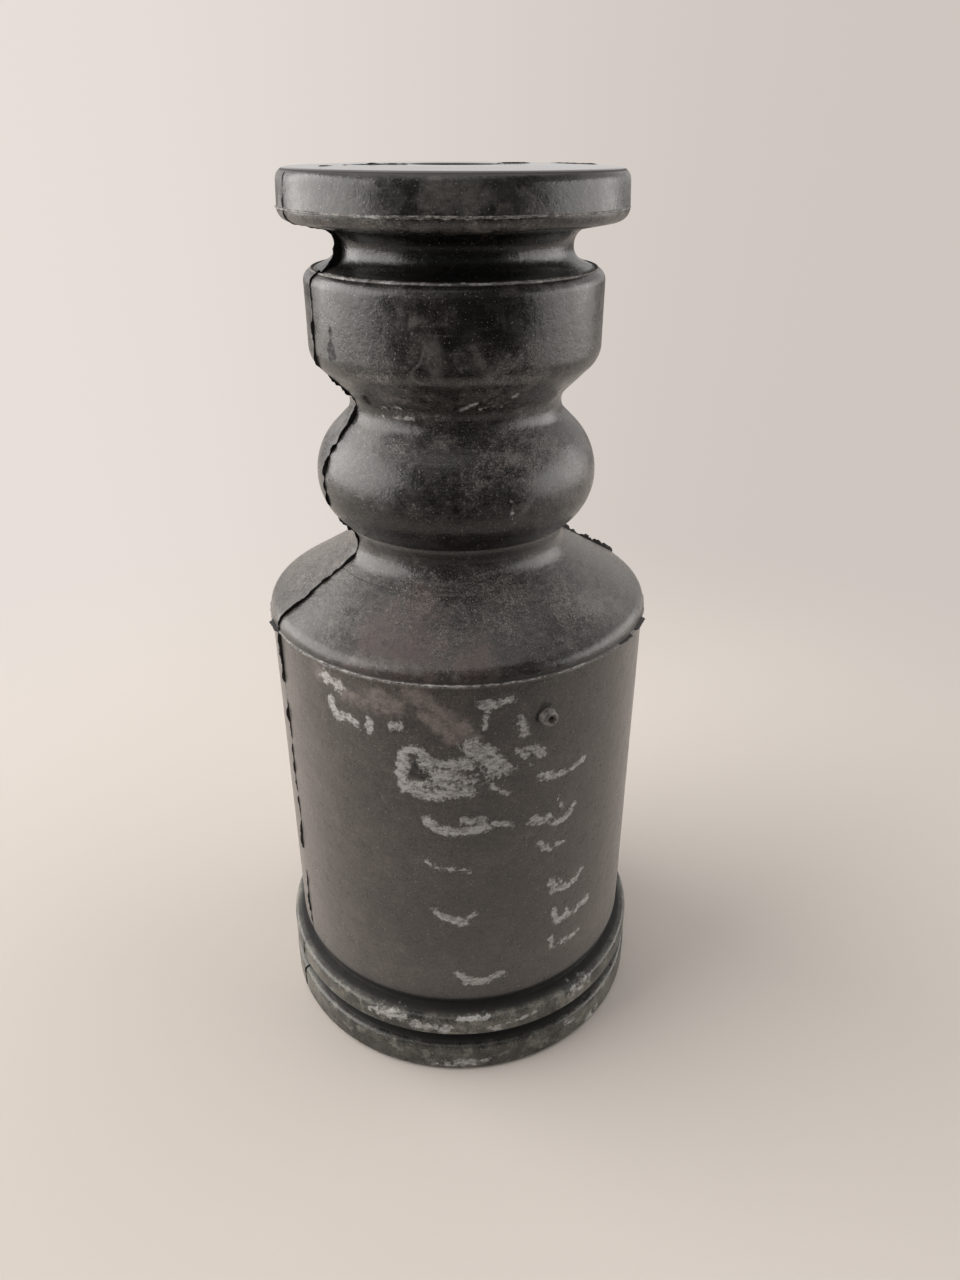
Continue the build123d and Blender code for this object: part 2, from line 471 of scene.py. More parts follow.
@dataclass(frozen=True)
class SectionPoint:
    """A point of the section, in metres, and the way the surface faces there."""

    radius: float
    height: float
    out_radius: float = 0.0
    out_height: float = 0.0

    def towards(self, other: "SectionPoint", share: float) -> "SectionPoint":
        """The point at a share of the way to another."""
        pairs = ((self.radius, other.radius), (self.height, other.height),
                 (self.out_radius, other.out_radius), (self.out_height, other.out_height))
        return SectionPoint(*(a + (b - a) * share for a, b in pairs))


class Outline:
    """The moulding's section as a fine line: outer side going up, inner side going down."""

    ARC_STEP = math.radians(5.0)
    OUTER_STEP = 0.5
    INNER_STEP = 4.0
    WALL_SHARE = 0.98       # of a wall that its two roundings may take up
    SHARP = 0.01            # roundings below this, in millimetres, are left out
    TOP_SPLIT = 16.0        # radius where the outer side ends on the top face

    def __init__(self, sizes: MouldingSizes) -> None:
        """Draw the whole section.

        Args:
            sizes: The moulding's sizes.
        """
        corners = sizes.corners()
        roundings = self._fitted(corners)
        bore_mouth = next(i for i, corner in enumerate(corners)
                          if i > 2 and corner.radius == sizes.bore_radius)
        middle_of_foot = Vector((0.5 * (corners[0].radius + corners[1].radius), 0.0))
        middle_of_top = Vector((self.TOP_SPLIT, corners[bore_mouth].height))
        outer = [middle_of_foot]
        inner = [middle_of_top]
        for index in range(1, bore_mouth):
            outer += self._rounded(corners, index, roundings[index])
        for index in [*range(bore_mouth, len(corners)), 0]:
            inner += self._rounded(corners, index, roundings[index])
        self.outer = self._finished(outer + [middle_of_top], self.OUTER_STEP)
        self.inner = self._finished(inner + [middle_of_foot], self.INNER_STEP)

    def _fitted(self, corners: list[Corner]) -> list[float]:
        """Make roundings smaller where a wall is too short for those at its two ends.

        Args:
            corners: The section's corners.

        Returns:
            The rounding of each corner.
        """
        count = len(corners)
        places = [Vector((corner.radius, corner.height)) for corner in corners]
        reach = []
        for index in range(count):
            arm_in = (places[index] - places[index - 1]).normalized()
            arm_out = (places[(index + 1) % count] - places[index]).normalized()
            reach.append(math.tan(0.5 * arm_in.angle(arm_out)))
        fitted = [corner.rounding for corner in corners]
        for index in range(count):
            other = (index + 1) % count
            wall = (places[other] - places[index]).length * self.WALL_SHARE
            wanted = sum(corners[i].rounding * reach[i] for i in (index, other))
            if wanted > wall:
                fitted[index] = min(fitted[index], corners[index].rounding * wall / wanted)
                fitted[other] = min(fitted[other], corners[other].rounding * wall / wanted)
        return fitted

    def _rounded(self, corners: list[Corner], index: int, rounding: float) -> list[Vector]:
        """Round one corner.

        Args:
            corners: The section's corners.
            index: Which one.
            rounding: Radius of its arc.

        Returns:
            The points of its arc, or the corner alone where it is sharp.
        """
        before, here, after = (Vector((c.radius, c.height)) for c in (
            corners[index - 1], corners[index], corners[(index + 1) % len(corners)]))
        if rounding < self.SHARP:
            return [here]
        back, ahead = (before - here).normalized(), (after - here).normalized()
        opening = back.angle(ahead)
        reach = rounding / math.tan(0.5 * opening)
        centre = here + (back + ahead).normalized() * rounding / math.sin(0.5 * opening)
        start, end = here + back * reach - centre, here + ahead * reach - centre
        turn = math.pi - opening
        steps = max(2, math.ceil(turn / self.ARC_STEP))
        return [centre + (start * math.sin(turn * (1 - i / steps))
                          + end * math.sin(turn * i / steps)) / math.sin(turn)
                for i in range(steps + 1)]

    def _finished(self, points: list[Vector], step: float) -> list[SectionPoint]:
        """Divide long runs and find the way each point faces.

        Args:
            points: The line in millimetres, with the rubber on its left.
            step: Longest run that stays whole.

        Returns:
            The line's points in metres.
        """
        fine = [points[0]]
        for target in points[1:]:
            start = fine[-1]
            parts = max(1, math.ceil((target - start).length / step))
            fine += [start.lerp(target, (i + 1) / parts) for i in range(parts)]
        made = []
        for index, point in enumerate(fine):
            run = fine[min(index + 1, len(fine) - 1)] - fine[max(index - 1, 0)]
            out = Vector((run.y, -run.x)).normalized()
            made.append(SectionPoint(point.x * MM, point.y * MM, out.x, out.y))
        return made

    @staticmethod
    def between(side: list[SectionPoint], low: float, high: float) -> list[SectionPoint]:
        """Cut a side of the outline at two heights.

        Args:
            side: The outer or the inner side.
            low: Lower height in metres.
            high: Upper height in metres.

        Returns:
            The points from one cut to the other, in the side's own order.
        """
        kept: list[SectionPoint] = []
        for first, second in zip(side, side[1:]):
            span = second.height - first.height
            if abs(span) < LEVEL:
                inside = low - SAME_PLACE <= first.height <= high + SAME_PLACE
                ends = [first, second] if inside else []
            else:
                shares = sorted(((low - first.height) / span, (high - first.height) / span))
                start, end = max(0.0, shares[0]), min(1.0, shares[1])
                inside = end - start > 1e-6
                ends = [first.towards(second, start), first.towards(second, end)] if inside else []
            for point in ends:
                if not kept or math.hypot(point.radius - kept[-1].radius,
                                          point.height - kept[-1].height) > APART:
                    kept.append(point)
        return kept


# --- Geometry trees --------------------------------------------------------------------------


def turned_zone_tree() -> bpy.types.NodeTree:
    """Build the tree that turns a section about +Z and makes the surface a little uneven.

    Returns:
        The geometry tree.
    """
    writer, given = new_geometry_tree("turned_zone", {
        "Section": "NodeSocketGeometry", "Segments": "NodeSocketInt",
        "Unevenness": "NodeSocketFloat", "Swell Length": "NodeSocketFloat",
        "Seed": "NodeSocketInt", "Rubber": "NodeSocketMaterial"})
    section = writer.node("GeometryNodeMeshToCurve", {0: given.outputs["Section"]})
    circle = writer.node("GeometryNodeCurvePrimitiveCircle", {
        "Resolution": given.outputs["Segments"], "Radius": SWEEP_RADIUS})
    swept = writer.node("GeometryNodeCurveToMesh", {
        "Curve": circle.outputs[0], "Profile Curve": section.outputs[0]})
    closed = writer.node("GeometryNodeMergeByDistance", {
        0: swept.outputs[0], "Distance": SAME_PLACE})
    place = writer.node("GeometryNodeInputPosition").outputs[0]
    spokes = writer.vector("NORMALIZE", writer.vector("MULTIPLY", place, (1.0, 1.0, 0.0)))
    waves = writer.math("DIVIDE", 1.0, given.outputs["Swell Length"])
    swell = writer.noise(place, Pattern(waves, 2.0, 0.45, given.outputs["Seed"]))
    offset = writer.swing(swell, writer.times(given.outputs["Unevenness"], 2.0))
    moved = writer.node("GeometryNodeSetPosition", {
        0: closed.outputs[0], "Offset": writer.scaled(spokes, offset)})
    end_geometry_tree(writer, moved.outputs[0], SMOOTH_BELOW, given.outputs["Rubber"])
    return writer.tree


TEAR_SHARE = 0.45               # of the torn edge that the short tears make, the rest being runs
TORN_GAIN = 1.5                 # height of a whole edge against the stand it is given
RUN_WAVES, GAP_WAVES, LEAN_WAVES = 0.34, 0.30, 0.5      # each pattern's waves against the tears'
GAP_EDGE = (-0.01, 0.03)        # from torn away to whole, in the gaps' pattern
KNEE_UP, KNEE_LEAN = 0.45, 0.4          # where the flash bends, in its height and in its lean
KNEE_DEPTH = 0.7                # and how far up out of its root
TIP_UP, TIP_LEAN = 0.55, 0.6    # from there to its tip
TIP_IN = 0.28                   # of its thickness that the tip stands in from each side


def flash_tree() -> bpy.types.NodeTree:
    """Build the tree that raises a thin ragged flash along a path.

    The path's points carry which way is outward, which way is sideways, and how far the flash
    stands out there.

    Returns:
        The geometry tree.
    """
    writer, given = new_geometry_tree("mould_flash", {
        "Path": "NodeSocketGeometry", "Spacing": "NodeSocketFloat",
        "Thickness": "NodeSocketFloat", "Root Depth": "NodeSocketFloat",
        "Raggedness": "NodeSocketFloat", "Tear Length": "NodeSocketFloat",
        "Breaks": "NodeSocketFloat", "Waver": "NodeSocketFloat", "Seed": "NodeSocketInt",
        "Rubber": "NodeSocketMaterial"})
    outputs = given.outputs
    outward = writer.carried("outward", "FLOAT_VECTOR")
    sideways = writer.carried("sideways", "FLOAT_VECTOR")
    stand = writer.carried("stand")
    curve = writer.node("GeometryNodeMeshToCurve", {0: outputs["Path"]})
    even = writer.node("GeometryNodeResampleCurve", {
        "Curve": curve.outputs[0], "Length": outputs["Spacing"]}, mode="LENGTH")
    line = writer.node("GeometryNodeCurveToMesh", {"Curve": even.outputs[0]})

    place = writer.node("GeometryNodeInputPosition").outputs[0]
    waves = writer.math("DIVIDE", 1.0, outputs["Tear Length"])
    seed = outputs["Seed"]
    tears = writer.spread(place, Pattern(waves, 4.0, 0.62, seed, 0.36, 0.64))
    runs = writer.spread(place, Pattern(writer.times(waves, RUN_WAVES), 2.0, 0.5,
                                        writer.plus(seed, 3.0), 0.34, 0.62))
    torn = writer.times(writer.mix(TEAR_SHARE, runs, tears), TORN_GAIN)
    gaps = writer.noise(place, Pattern(writer.times(waves, GAP_WAVES), 2.0, 0.5,
                                       writer.plus(seed, 7.0)))
    kept = writer.ease(writer.less(gaps, outputs["Breaks"]), *GAP_EDGE)
    share = writer.plus(writer.less(1.0, outputs["Raggedness"]),
                        writer.times(torn, outputs["Raggedness"]))
    height = writer.times(writer.times(share, kept), stand)
    wander = writer.swing(writer.noise(place, Pattern(
        writer.times(waves, LEAN_WAVES), 3.0, 0.55, writer.plus(seed, 13.0))), outputs["Waver"])
    ready = line.outputs[0]
    for label, value in (("flash_height", height), ("flash_wander", wander)):
        ready = writer.node("GeometryNodeStoreNamedAttribute", {
            0: ready, "Name": label, "Value": value}, data_type="FLOAT").outputs[0]
    tall, lean = writer.carried("flash_height"), writer.carried("flash_wander")

    def stepped(shape: Socket, selection: object, up: object, side: object) -> Socket:
        """Move the selected points outward and sideways."""
        offset = writer.vector("ADD", writer.scaled(outward, up), writer.scaled(sideways, side))
        inputs = {0: shape, "Offset": offset}
        if selection is not None:
            inputs["Selection"] = selection
        return writer.node("GeometryNodeSetPosition", inputs).outputs[0]

    depth, thickness = outputs["Root Depth"], outputs["Thickness"]
    half = writer.plus(writer.times(thickness, -0.5), lean)
    rooted = stepped(ready, None, writer.times(depth, -1.0), half)
    first = writer.node("GeometryNodeExtrudeMesh", {0: rooted, "Offset Scale": 0.0}, mode="EDGES")
    low_wall = stepped(first.outputs[0], first.outputs["Top"],
                       writer.blend((depth, KNEE_DEPTH), (tall, KNEE_UP)),
                       writer.times(lean, KNEE_LEAN))
    second = writer.node("GeometryNodeExtrudeMesh", {
        0: low_wall, 1: first.outputs["Top"], "Offset Scale": 0.0}, mode="EDGES")
    sheet = stepped(second.outputs[0], second.outputs["Top"], writer.times(tall, TIP_UP),
                    writer.blend((thickness, TIP_IN), (lean, TIP_LEAN)))
    tip = writer.node("GeometryNodeStoreNamedAttribute", {
        0: sheet, 1: second.outputs["Top"], "Name": "flash_tip", "Value": 1.0},
        data_type="FLOAT").outputs[0]
    facing = writer.node("GeometryNodeExtrudeMesh", {
        0: tip, "Offset Scale": 0.0, "Individual": False}, mode="FACES")
    wide = writer.times(thickness, writer.less(1.0, writer.times(
        writer.carried("flash_tip"), 2.0 * TIP_IN)))
    front = stepped(facing.outputs[0], facing.outputs["Top"], 0.0, wide)
    back = writer.node("GeometryNodeFlipFaces", {0: tip})
    joined = writer.node("GeometryNodeJoinGeometry")
    writer.tree.links.new(front, joined.inputs[0])
    writer.tree.links.new(back.outputs[0], joined.inputs[0])
    closed = writer.node("GeometryNodeMergeByDistance", {
        0: joined.outputs[0], "Distance": SAME_PLACE})
    end_geometry_tree(writer, closed.outputs[0], FIN_SMOOTH_BELOW, outputs["Rubber"])
    return writer.tree


# --- Finishes --------------------------------------------------------------------------------


class Seam(Enum):
    """The two lines where the halves of the mould met, by azimuth in degrees."""

    LEFT = -63.0
    RIGHT = 117.0


class Trace(Enum):
    """What a mark on the rubber is."""

    CHALK = "chalk"
    ROSE = "rose"
    STAIN = "stain"
    WARM = "warm"
    SCUFF = "scuff"


@dataclass(frozen=True)
class Wear:
    """How a kind of mark crumbles: how coarse its edge is, what is left of it between flakes,
    how near its line it begins and is full, and how much of it shows."""

    coarse: float = 1.6
    between: float = 0.60
    faint: float = 0.45
    full: float = 1.95
    shown: float = 0.75


CRUMBLING = {Trace.CHALK: Wear(3.2, 0.40, 0.92, 1.52, 1.0),
             Trace.STAIN: Wear(1.6, 0.60, 0.92, 1.52, 1.0)}
SMEARED = Wear()                # every other kind of mark
LEAST, GAIN = 0.62, 0.38        # what a mark of no strength amounts to, and what strength adds
UNMARKED_ABOVE = 152.4          # millimetres up, where marks are left out
UNMARKED_FADE = 0.5             # millimetres below that in which they fade


@dataclass(frozen=True)
class Mark:
    """One mark: a line of points, each an azimuth in degrees from -Y towards +X and a height
    in millimetres, and how many millimetres it reaches to either side."""

    points: tuple[tuple[float, float], ...]
    reach: float
    strength: float = 0.7
    trace: Trace = Trace.CHALK

    def nearness(self, azimuth: np.ndarray, height: np.ndarray, radius: np.ndarray) -> np.ndarray:
        """Say how near places on the rubber are to this mark.

        Args:
            azimuth: Degrees from -Y towards +X.
            height: Millimetres above the foot.
            radius: Millimetres from the axis.

        Returns:
            One on the mark's line, nought at its reach, falling on to minus one.
        """
        best = np.full(azimuth.shape, -1.0)
        per_degree = np.radians(1.0) * radius
        for start, end in zip(self.points, self.points[1:]):
            run_x, run_y = (end[0] - start[0]) * per_degree, end[1] - start[1]
            arm_x, arm_y = (azimuth - start[0]) * per_degree, height - start[1]
            along = (arm_x * run_x + arm_y * run_y) / np.maximum(run_x ** 2 + run_y ** 2, 1e-9)
            share = np.clip(along, 0.0, 1.0)
            distance = np.hypot(arm_x - share * run_x, arm_y - share * run_y)
            best = np.maximum(best, 1.0 - distance / self.reach)
        return best


def lay_marks(mesh: bpy.types.Mesh, marks: tuple[Mark, ...]) -> None:
    """Write the marks on a piece as one field of nearness for each kind of mark.

    Args:
        mesh: The piece's mesh.
        marks: The marks.
    """
    x, y, z = points_of(mesh)
    azimuth, radius = np.degrees(np.arctan2(x, -y)), np.hypot(x, y)
    faded = np.clip((UNMARKED_ABOVE - z) / UNMARKED_FADE, 0.0, 1.0)
    for trace in Trace:
        shown = np.zeros(len(x))
        for mark in marks:
            if mark.trace is trace:
                shown = np.maximum(shown, (1.0 + mark.nearness(azimuth, z, radius))
                                   * (LEAST + GAIN * mark.strength))
        carry(mesh, trace.value, shown * faded)


@dataclass(frozen=True)
class FilmStop:
    """What lies on the rubber at one height in millimetres: how much film, grain, warmth and
    pale patches."""

    height: float
    film: float
    grain: float = 0.6
    warmth: float = 0.2
    patches: float = 0.0


# Painted shade and highlight by height: film drops to nothing where shade falls. That is the
# creases above and below the upper rib, just above the shoulder's lip, the neck under the bulge
# and the groove under the flange. Film is full on the collar's ridge as a painted highlight.
FILM_AND_PAINTED_LIGHT_BY_HEIGHT = tuple(FilmStop(*amounts) for amounts in (
    (0.0, 0.28, 0.6, 0.3, 0.9), (6.0, 0.36, 0.6, 0.3, 0.9), (6.2, 0.32, 0.5, 0.3, 0.4),
    (6.35, 0.08, 0.2, 0.3, 0.1), (6.5, 0.00, 0.0, 0.3, 0.0), (9.4, 0.00, 0.0, 0.3, 0.0),
    (9.9, 0.30, 0.6, 0.3, 1.0), (13.3, 0.38, 0.6, 0.3, 1.0), (13.55, 0.36, 0.5, 0.3, 0.5),
    (13.70, 0.08, 0.2, 0.3, 0.1), (13.85, 0.00, 0.0, 0.3, 0.0), (16.3, 0.00, 0.0, 0.5, 0.0),
    (17.6, 0.20, 0.5, 0.8, 0.0), (20.0, 0.215, 0.5, 0.9, 0.1), (60.0, 0.20, 0.5, 0.9, 0.1),
    (83.0, 0.215, 0.5, 0.9, 0.1), (83.35, 1.00, 0.2, 0.4, 0.0), (83.66, 1.00, 0.2, 0.4, 0.0),
    (83.76, 0.01, 0.2, 0.4, 0.0), (84.1, 0.01, 0.2, 0.4, 0.0), (84.4, 0.15, 0.6, 0.4, 0.0),
    (86.5, 0.14, 1.2, 0.5, 0.1), (88.5, 0.165, 1.8, 0.4, 0.2), (94.0, 0.18, 1.8, 0.3, 0.1),
    (96.3, 0.18, 1.1, 0.2, 0.0), (97.6, 0.05, 0.6, 0.2, 0.0), (98.6, 0.01, 0.5, 0.2, 0.0),
    (102.0, 0.05, 0.8, 0.2, 0.0), (108.0, 0.13, 1.0, 0.2, 0.2), (112.5, 0.22, 1.1, 0.2, 0.2),
    (116.0, 0.30, 1.2, 0.2, 0.3), (119.0, 0.18, 1.1, 0.2, 0.2), (125.5, 0.17, 1.1, 0.2, 0.1),
    (126.3, 0.34, 1.0, 0.2, 0.1), (127.2, 0.11, 0.9, 0.2, 0.2), (131.0, 0.09, 0.8, 0.2, 0.2),
    (137.0, 0.08, 0.8, 0.2, 0.1), (138.2, 0.22, 0.7, 0.2, 0.0), (138.82, 0.08, 0.5, 0.2, 0.0),
    (138.90, 1.00, 0.1, 0.1, 0.0), (139.10, 1.00, 0.1, 0.1, 0.0), (139.13, 0.00, 0.3, 0.1, 0.0),
    (145.0, 0.00, 0.5, 0.2, 0.0), (145.9, 0.22, 0.9, 0.3, 0.2), (147.0, 0.28, 0.9, 0.3, 0.3),
    (147.3, 0.04, 0.7, 0.2, 0.1), (147.5, 0.12, 0.6, 0.2, 0.4), (151.6, 0.12, 0.6, 0.2, 0.2),
    (152.1, 0.16, 0.4, 0.2, 0.0), (152.4, 0.02, 0.1, 0.2, 0.0),
))


FILM_LABELS = ("film", "grain", "warmth", "patches")
# Painted shade: the back carries less film and fewer patches, so it stays as dark as the front
# under the stronger light from behind.
PAINTED_BACK_SHADE = {"film": 0.55, "patches": 0.6}      # share that is gone at the back
BACK_FROM = 0.05                # how far a point faces +Y where that loss begins
BACK_FADE = 0.55                # and how much farther it faces +Y where the loss is whole
AXIS = 1e-6                     # millimetres, the least distance from the axis that is used


def lay_film(mesh: bpy.types.Mesh) -> None:
    """Write how much film, grain, warmth and patches a piece carries, by the heights of its
    points, with less film and fewer patches at the back as painted shade against the
    stronger light from behind.

    Args:
        mesh: The piece's mesh.
    """
    x, y, z = points_of(mesh)
    towards_back = y / np.maximum(np.hypot(x, y), AXIS)
    back = np.clip((towards_back - BACK_FROM) / BACK_FADE, 0.0, 1.0)
    stops = [stop.height for stop in FILM_AND_PAINTED_LIGHT_BY_HEIGHT]
    for label in FILM_LABELS:
        amounts = np.interp(z, stops, [getattr(stop, label) for stop in FILM_AND_PAINTED_LIGHT_BY_HEIGHT])
        carry(mesh, label, amounts * (1.0 - PAINTED_BACK_SHADE.get(label, 0.0) * back))


# The patterns on the rubber, its film, its marks and its seam.
MOTTLE = Pattern(1250.0, 3.0, 0.72, 1.7)
SPECKLE = Pattern(3900.0, 2.0, 0.6, 7.7)
BLOTCHES = Pattern(370.0, 4.0, 0.62, 8.4, 0.34, 0.68)
CLOUDS = Pattern(95.0, 5.0, 0.66, 3.1, 0.36, 0.64)
STREAKS = Pattern(2600.0, 3.0, 0.6, 5.2, 0.46, 0.74)
PATCHES = Pattern(230.0, 5.0, 0.66, 16.0, 0.53, 0.62)
DUST = Pattern(3300.0, 1.0, 0.5, 9.6, 0.665, 0.72)
SCRATCHES = Pattern(60.0, 2.0, 0.45, 14.0)
SCRATCHED = Pattern(240.0, 2.0, 0.5, 11.0, 0.50, 0.60)
SEAM_WAVER = Pattern(260.0, 3.0, 0.55, 19.0)
SEAM_WHOLE = Pattern(190.0, 2.0, 0.5, 23.0, 0.26, 0.38)
MARK_WAVER = Pattern(500.0, 3.0, 0.62, 2.2)
MARK_CRUMBLE = Pattern(1250.0, 4.0, 0.72, 4.4)
MARK_FLAKES = Pattern(900.0, 4.0, 0.7, 6.1, 0.40, 0.56)
TORN_RELIEF = Pattern(2600.0, 3.0, 0.6, 1.0)


@dataclass(frozen=True)
class MouldedRubber:
    """Black rubber with a chalky film, fine grain, streaks, dust and marks on it."""

    name: str
    bare: Colour = (0.0052, 0.0050, 0.0047)
    film: Colour = (0.165, 0.154, 0.145)
    warm_film: Colour = (0.176, 0.150, 0.134)
    olive_film: Colour = (0.165, 0.158, 0.136)
    chalk: Colour = (0.46, 0.45, 0.44)
    rose: Colour = (0.270, 0.225, 0.210)
    brown: Colour = (0.088, 0.060, 0.056)
    scuff: Colour = (0.15, 0.145, 0.135)
    soot_and_shade: Colour = (0.0030, 0.0030, 0.0028)
    dust: Colour = (0.36, 0.35, 0.33)
    smooth_roughness: float = 0.27
    film_roughness: float = 0.58
    olive_heights: tuple[float, float] = (17.0, 14.0)
    dust_strength: float = 0.5
    streak_strength: float = 0.10
    scratch_width: float = 0.0035
    scratch_strength: float = 0.30
    half_gain: float = 0.55
    seam_waver: float = 0.7 * MM
    seam_widths: tuple[float, float] = (0.20 * MM, 0.06 * MM)
    seam_strength: float = 0.75
    top_height: float = 152.3
    top_roughness: float = 0.12
    bloom: float = 0.0
    bloom_roughness: float = 0.5
    bloom_tint: Colour = (1.0, 0.93, 0.87)

    def make(self) -> bpy.types.Material:
        """Build the material.

        Returns:
            The new material.
        """
        material = bpy.data.materials.new(self.name)
        writer = started(material)
        place = writer.node("ShaderNodeTexCoord").outputs["Object"]
        height = writer.math("DIVIDE", writer.node("ShaderNodeSeparateXYZ", {0: place}).outputs[2],
                             MM)
        levels = {label: writer.attribute(label) for label in FILM_LABELS}
        mottle, speckle, blotches = (writer.spread(place, pattern)
                                     for pattern in (MOTTLE, SPECKLE, BLOTCHES))
        cover = self._cover(writer, place, levels, (mottle, speckle, blotches))
        spots = self._spots(writer, place, speckle)
        seam = self._seam(writer, place)

        paint = writer.tint(levels["warmth"], self.film, self.warm_film)
        paint = writer.tint(writer.ease(height, *self.olive_heights), paint,
                            self.olive_film)
        colour = writer.tint(cover, self.bare, paint)
        dust = writer.times(writer.times(writer.spread(place, DUST), self.dust_strength),
                            writer.ease(levels["grain"], 0.2, 0.6))
        colour = writer.tint(dust, colour, self.dust)
        for trace, paint_over in ((Trace.WARM, self.brown), (Trace.SCUFF, self.scuff),
                                  (Trace.ROSE, self.rose), (Trace.STAIN, self.soot_and_shade),
                                  (Trace.CHALK, self.chalk)):
            colour = writer.tint(spots[trace], colour, paint_over)
        # painted shade: the seam's dark line stands partly for the crevice beside the flash
        colour = writer.tint(seam, colour, self.soot_and_shade)

        top = self.top_height
        rough = writer.mix(cover, self.smooth_roughness, self.film_roughness)
        rough = writer.mix(writer.ease(levels["grain"], 0.35, 0.1), rough, 0.8)
        rough = writer.plus(rough, writer.swing(blotches, 0.10))
        rough = writer.mix(spots[Trace.CHALK], rough, 0.85)
        rough = writer.mix(spots[Trace.STAIN], rough, 0.9)
        rough = writer.mix(writer.ease(height, top, top + 0.25), rough, self.top_roughness)
        relief = writer.blend((mottle, 0.7), (blotches, 1.5), (speckle, 0.25),
                              (spots[Trace.CHALK], 0.9), (seam, -3.0))
        bump = writer.node("ShaderNodeBump", {
            "Strength": writer.ease(height, top + 0.2, top - 0.4, 0.05, 0.6),
            "Distance": 0.03 * MM, "Height": relief})
        surface = writer.node("ShaderNodeBsdfPrincipled", {
            "Base Color": colour, "Roughness": rough, "Normal": bump.outputs[0],
            "Sheen Weight": self.bloom, "Sheen Roughness": self.bloom_roughness,
            "Sheen Tint": (*self.bloom_tint, 1.0)})
        writer.node("ShaderNodeOutputMaterial", {"Surface": surface.outputs[0]})
        return material

    def _cover(self, writer: TreeWriter, place: Socket, levels: dict[str, Socket],
               grains: tuple[Socket, Socket, Socket]) -> Socket:
        """Work out how thickly the film lies.

        Args:
            writer: The material's tree.
            place: Object coordinates.
            levels: Amounts of film, grain, warmth and patches.
            grains: The patterns of a millimetre, of less, and of a few.

        Returns:
            The film's cover, from 0 to 1.
        """
        mottle, speckle, blotches = grains
        clouds = writer.spread(place, CLOUDS)
        fine = writer.plus(writer.swing(mottle, 1.2), writer.swing(speckle, 2.6))
        broad = writer.plus(writer.swing(clouds, 2.4), writer.swing(blotches, 1.8))
        calm = writer.less(1.25, writer.times(levels["warmth"], 1.05))
        stops = writer.blend((broad, calm), (fine, levels["grain"]))
        # painted reflection: the mould half behind the seams gets more film, lighter as if
        # catching grazing light beyond the left seam
        stops = writer.plus(stops, writer.ease(self._across(writer, place), 0.0, -0.8 * MM,
                                               0.0, self.half_gain))
        cover = writer.times(levels["film"], writer.math("POWER", 2.0, stops))

        round_about = writer.vector("MULTIPLY", place, (0.06, 0.06, 1.0))
        streaks = writer.spread(round_about, STREAKS)
        streaks = writer.times(streaks, writer.times(levels["grain"], self.streak_strength))
        cover = writer.plus(cover, streaks)
        patches = writer.times(writer.spread(place, PATCHES), levels["patches"])
        cover = writer.plus(cover, writer.times(patches, writer.mix(0.6, 1.0, mottle)))
        away = writer.math("ABSOLUTE", writer.less(writer.noise(place, SCRATCHES), 0.5))
        lines = writer.times(writer.ease(away, self.scratch_width, 0.0),
                             writer.spread(place, SCRATCHED))
        lines = writer.times(lines, writer.ease(levels["grain"], 0.2, 0.6))
        return writer.math("ADD", cover, writer.times(lines, self.scratch_strength), clamp=True)

    def _across(self, writer: TreeWriter, place: Socket) -> Socket:
        """How far a place is from the plane where the mould's halves met, below nought on one
        side of it."""
        side = math.radians(Seam.LEFT.value)
        return writer.node("ShaderNodeVectorMath", {
            0: place, 1: (math.cos(side), math.sin(side), 0.0)},
            operation="DOT_PRODUCT").outputs["Value"]

    def _seam(self, writer: TreeWriter, place: Socket) -> Socket:
        """Draw the fine dark line where the mould's halves met: bare dark rubber, and painted
        shade of the crevice beside the flash.

        Args:
            writer: The material's tree.
            place: Object coordinates.

        Returns:
            How strongly the line shows.
        """
        waver = writer.swing(writer.noise(place, SEAM_WAVER), self.seam_waver)
        away = writer.math("ABSOLUTE", writer.plus(self._across(writer, place), waver))
        whole = writer.times(writer.spread(place, SEAM_WHOLE), self.seam_strength)
        return writer.times(writer.ease(away, *self.seam_widths), whole)

    def _spots(self, writer: TreeWriter, place: Socket, speckle: Socket) -> dict[Trace, Socket]:
        """Show the marks that the pieces carry as fields.

        Args:
            writer: The material's tree.
            place: Object coordinates.
            speckle: Fine pattern.

        Returns:
            How strongly each kind of mark shows.
        """
        waver = writer.swing(writer.noise(place, MARK_WAVER), 2.9)
        crumble = writer.noise(place, MARK_CRUMBLE)
        flakes = writer.spread(writer.vector("MULTIPLY", place, (1.0, 1.0, 1.9)), MARK_FLAKES)
        shown = {}
        for trace in Trace:
            kind = CRUMBLING.get(trace, SMEARED)
            near = writer.attribute(trace.value)
            worn = writer.plus(near, writer.plus(waver, writer.swing(crumble, kind.coarse)))
            held = writer.times(writer.ease(worn, kind.faint, kind.full),
                                writer.ease(near, 0.40, 1.1))
            thin = writer.times(writer.mix(flakes, kind.between, 1.0),
                                writer.mix(speckle, 0.75, 1.0))
            shown[trace] = writer.times(writer.times(held, thin), kind.shown)
        return shown


@dataclass(frozen=True)
class TornRubber:
    """Rubber of the flash: dark where it is freshly torn, pale where dust has settled on it."""

    name: str
    dark: Colour
    dusty: Colour
    dust_share: float

    def make(self) -> bpy.types.Material:
        """Build the material.

        Returns:
            The new material.
        """
        material = bpy.data.materials.new(self.name)
        writer = started(material)
        place = writer.node("ShaderNodeTexCoord").outputs["Object"]
        dust = writer.spread(place, Pattern(1400.0, 3.0, 0.65, 3.0, 0.74 - self.dust_share,
                                            0.94 - self.dust_share))
        bump = writer.node("ShaderNodeBump", {
            "Strength": 0.5, "Distance": 0.05 * MM, "Height": writer.noise(place, TORN_RELIEF)})
        surface = writer.node("ShaderNodeBsdfPrincipled", {
            "Base Color": writer.tint(dust, self.dark, self.dusty),
            "Roughness": writer.mix(dust, 0.5, 0.8), "Normal": bump.outputs[0]})
        writer.node("ShaderNodeOutputMaterial", {"Surface": surface.outputs[0]})
        return material


# --- Marks on the rubber ---------------------------------------------------------------------

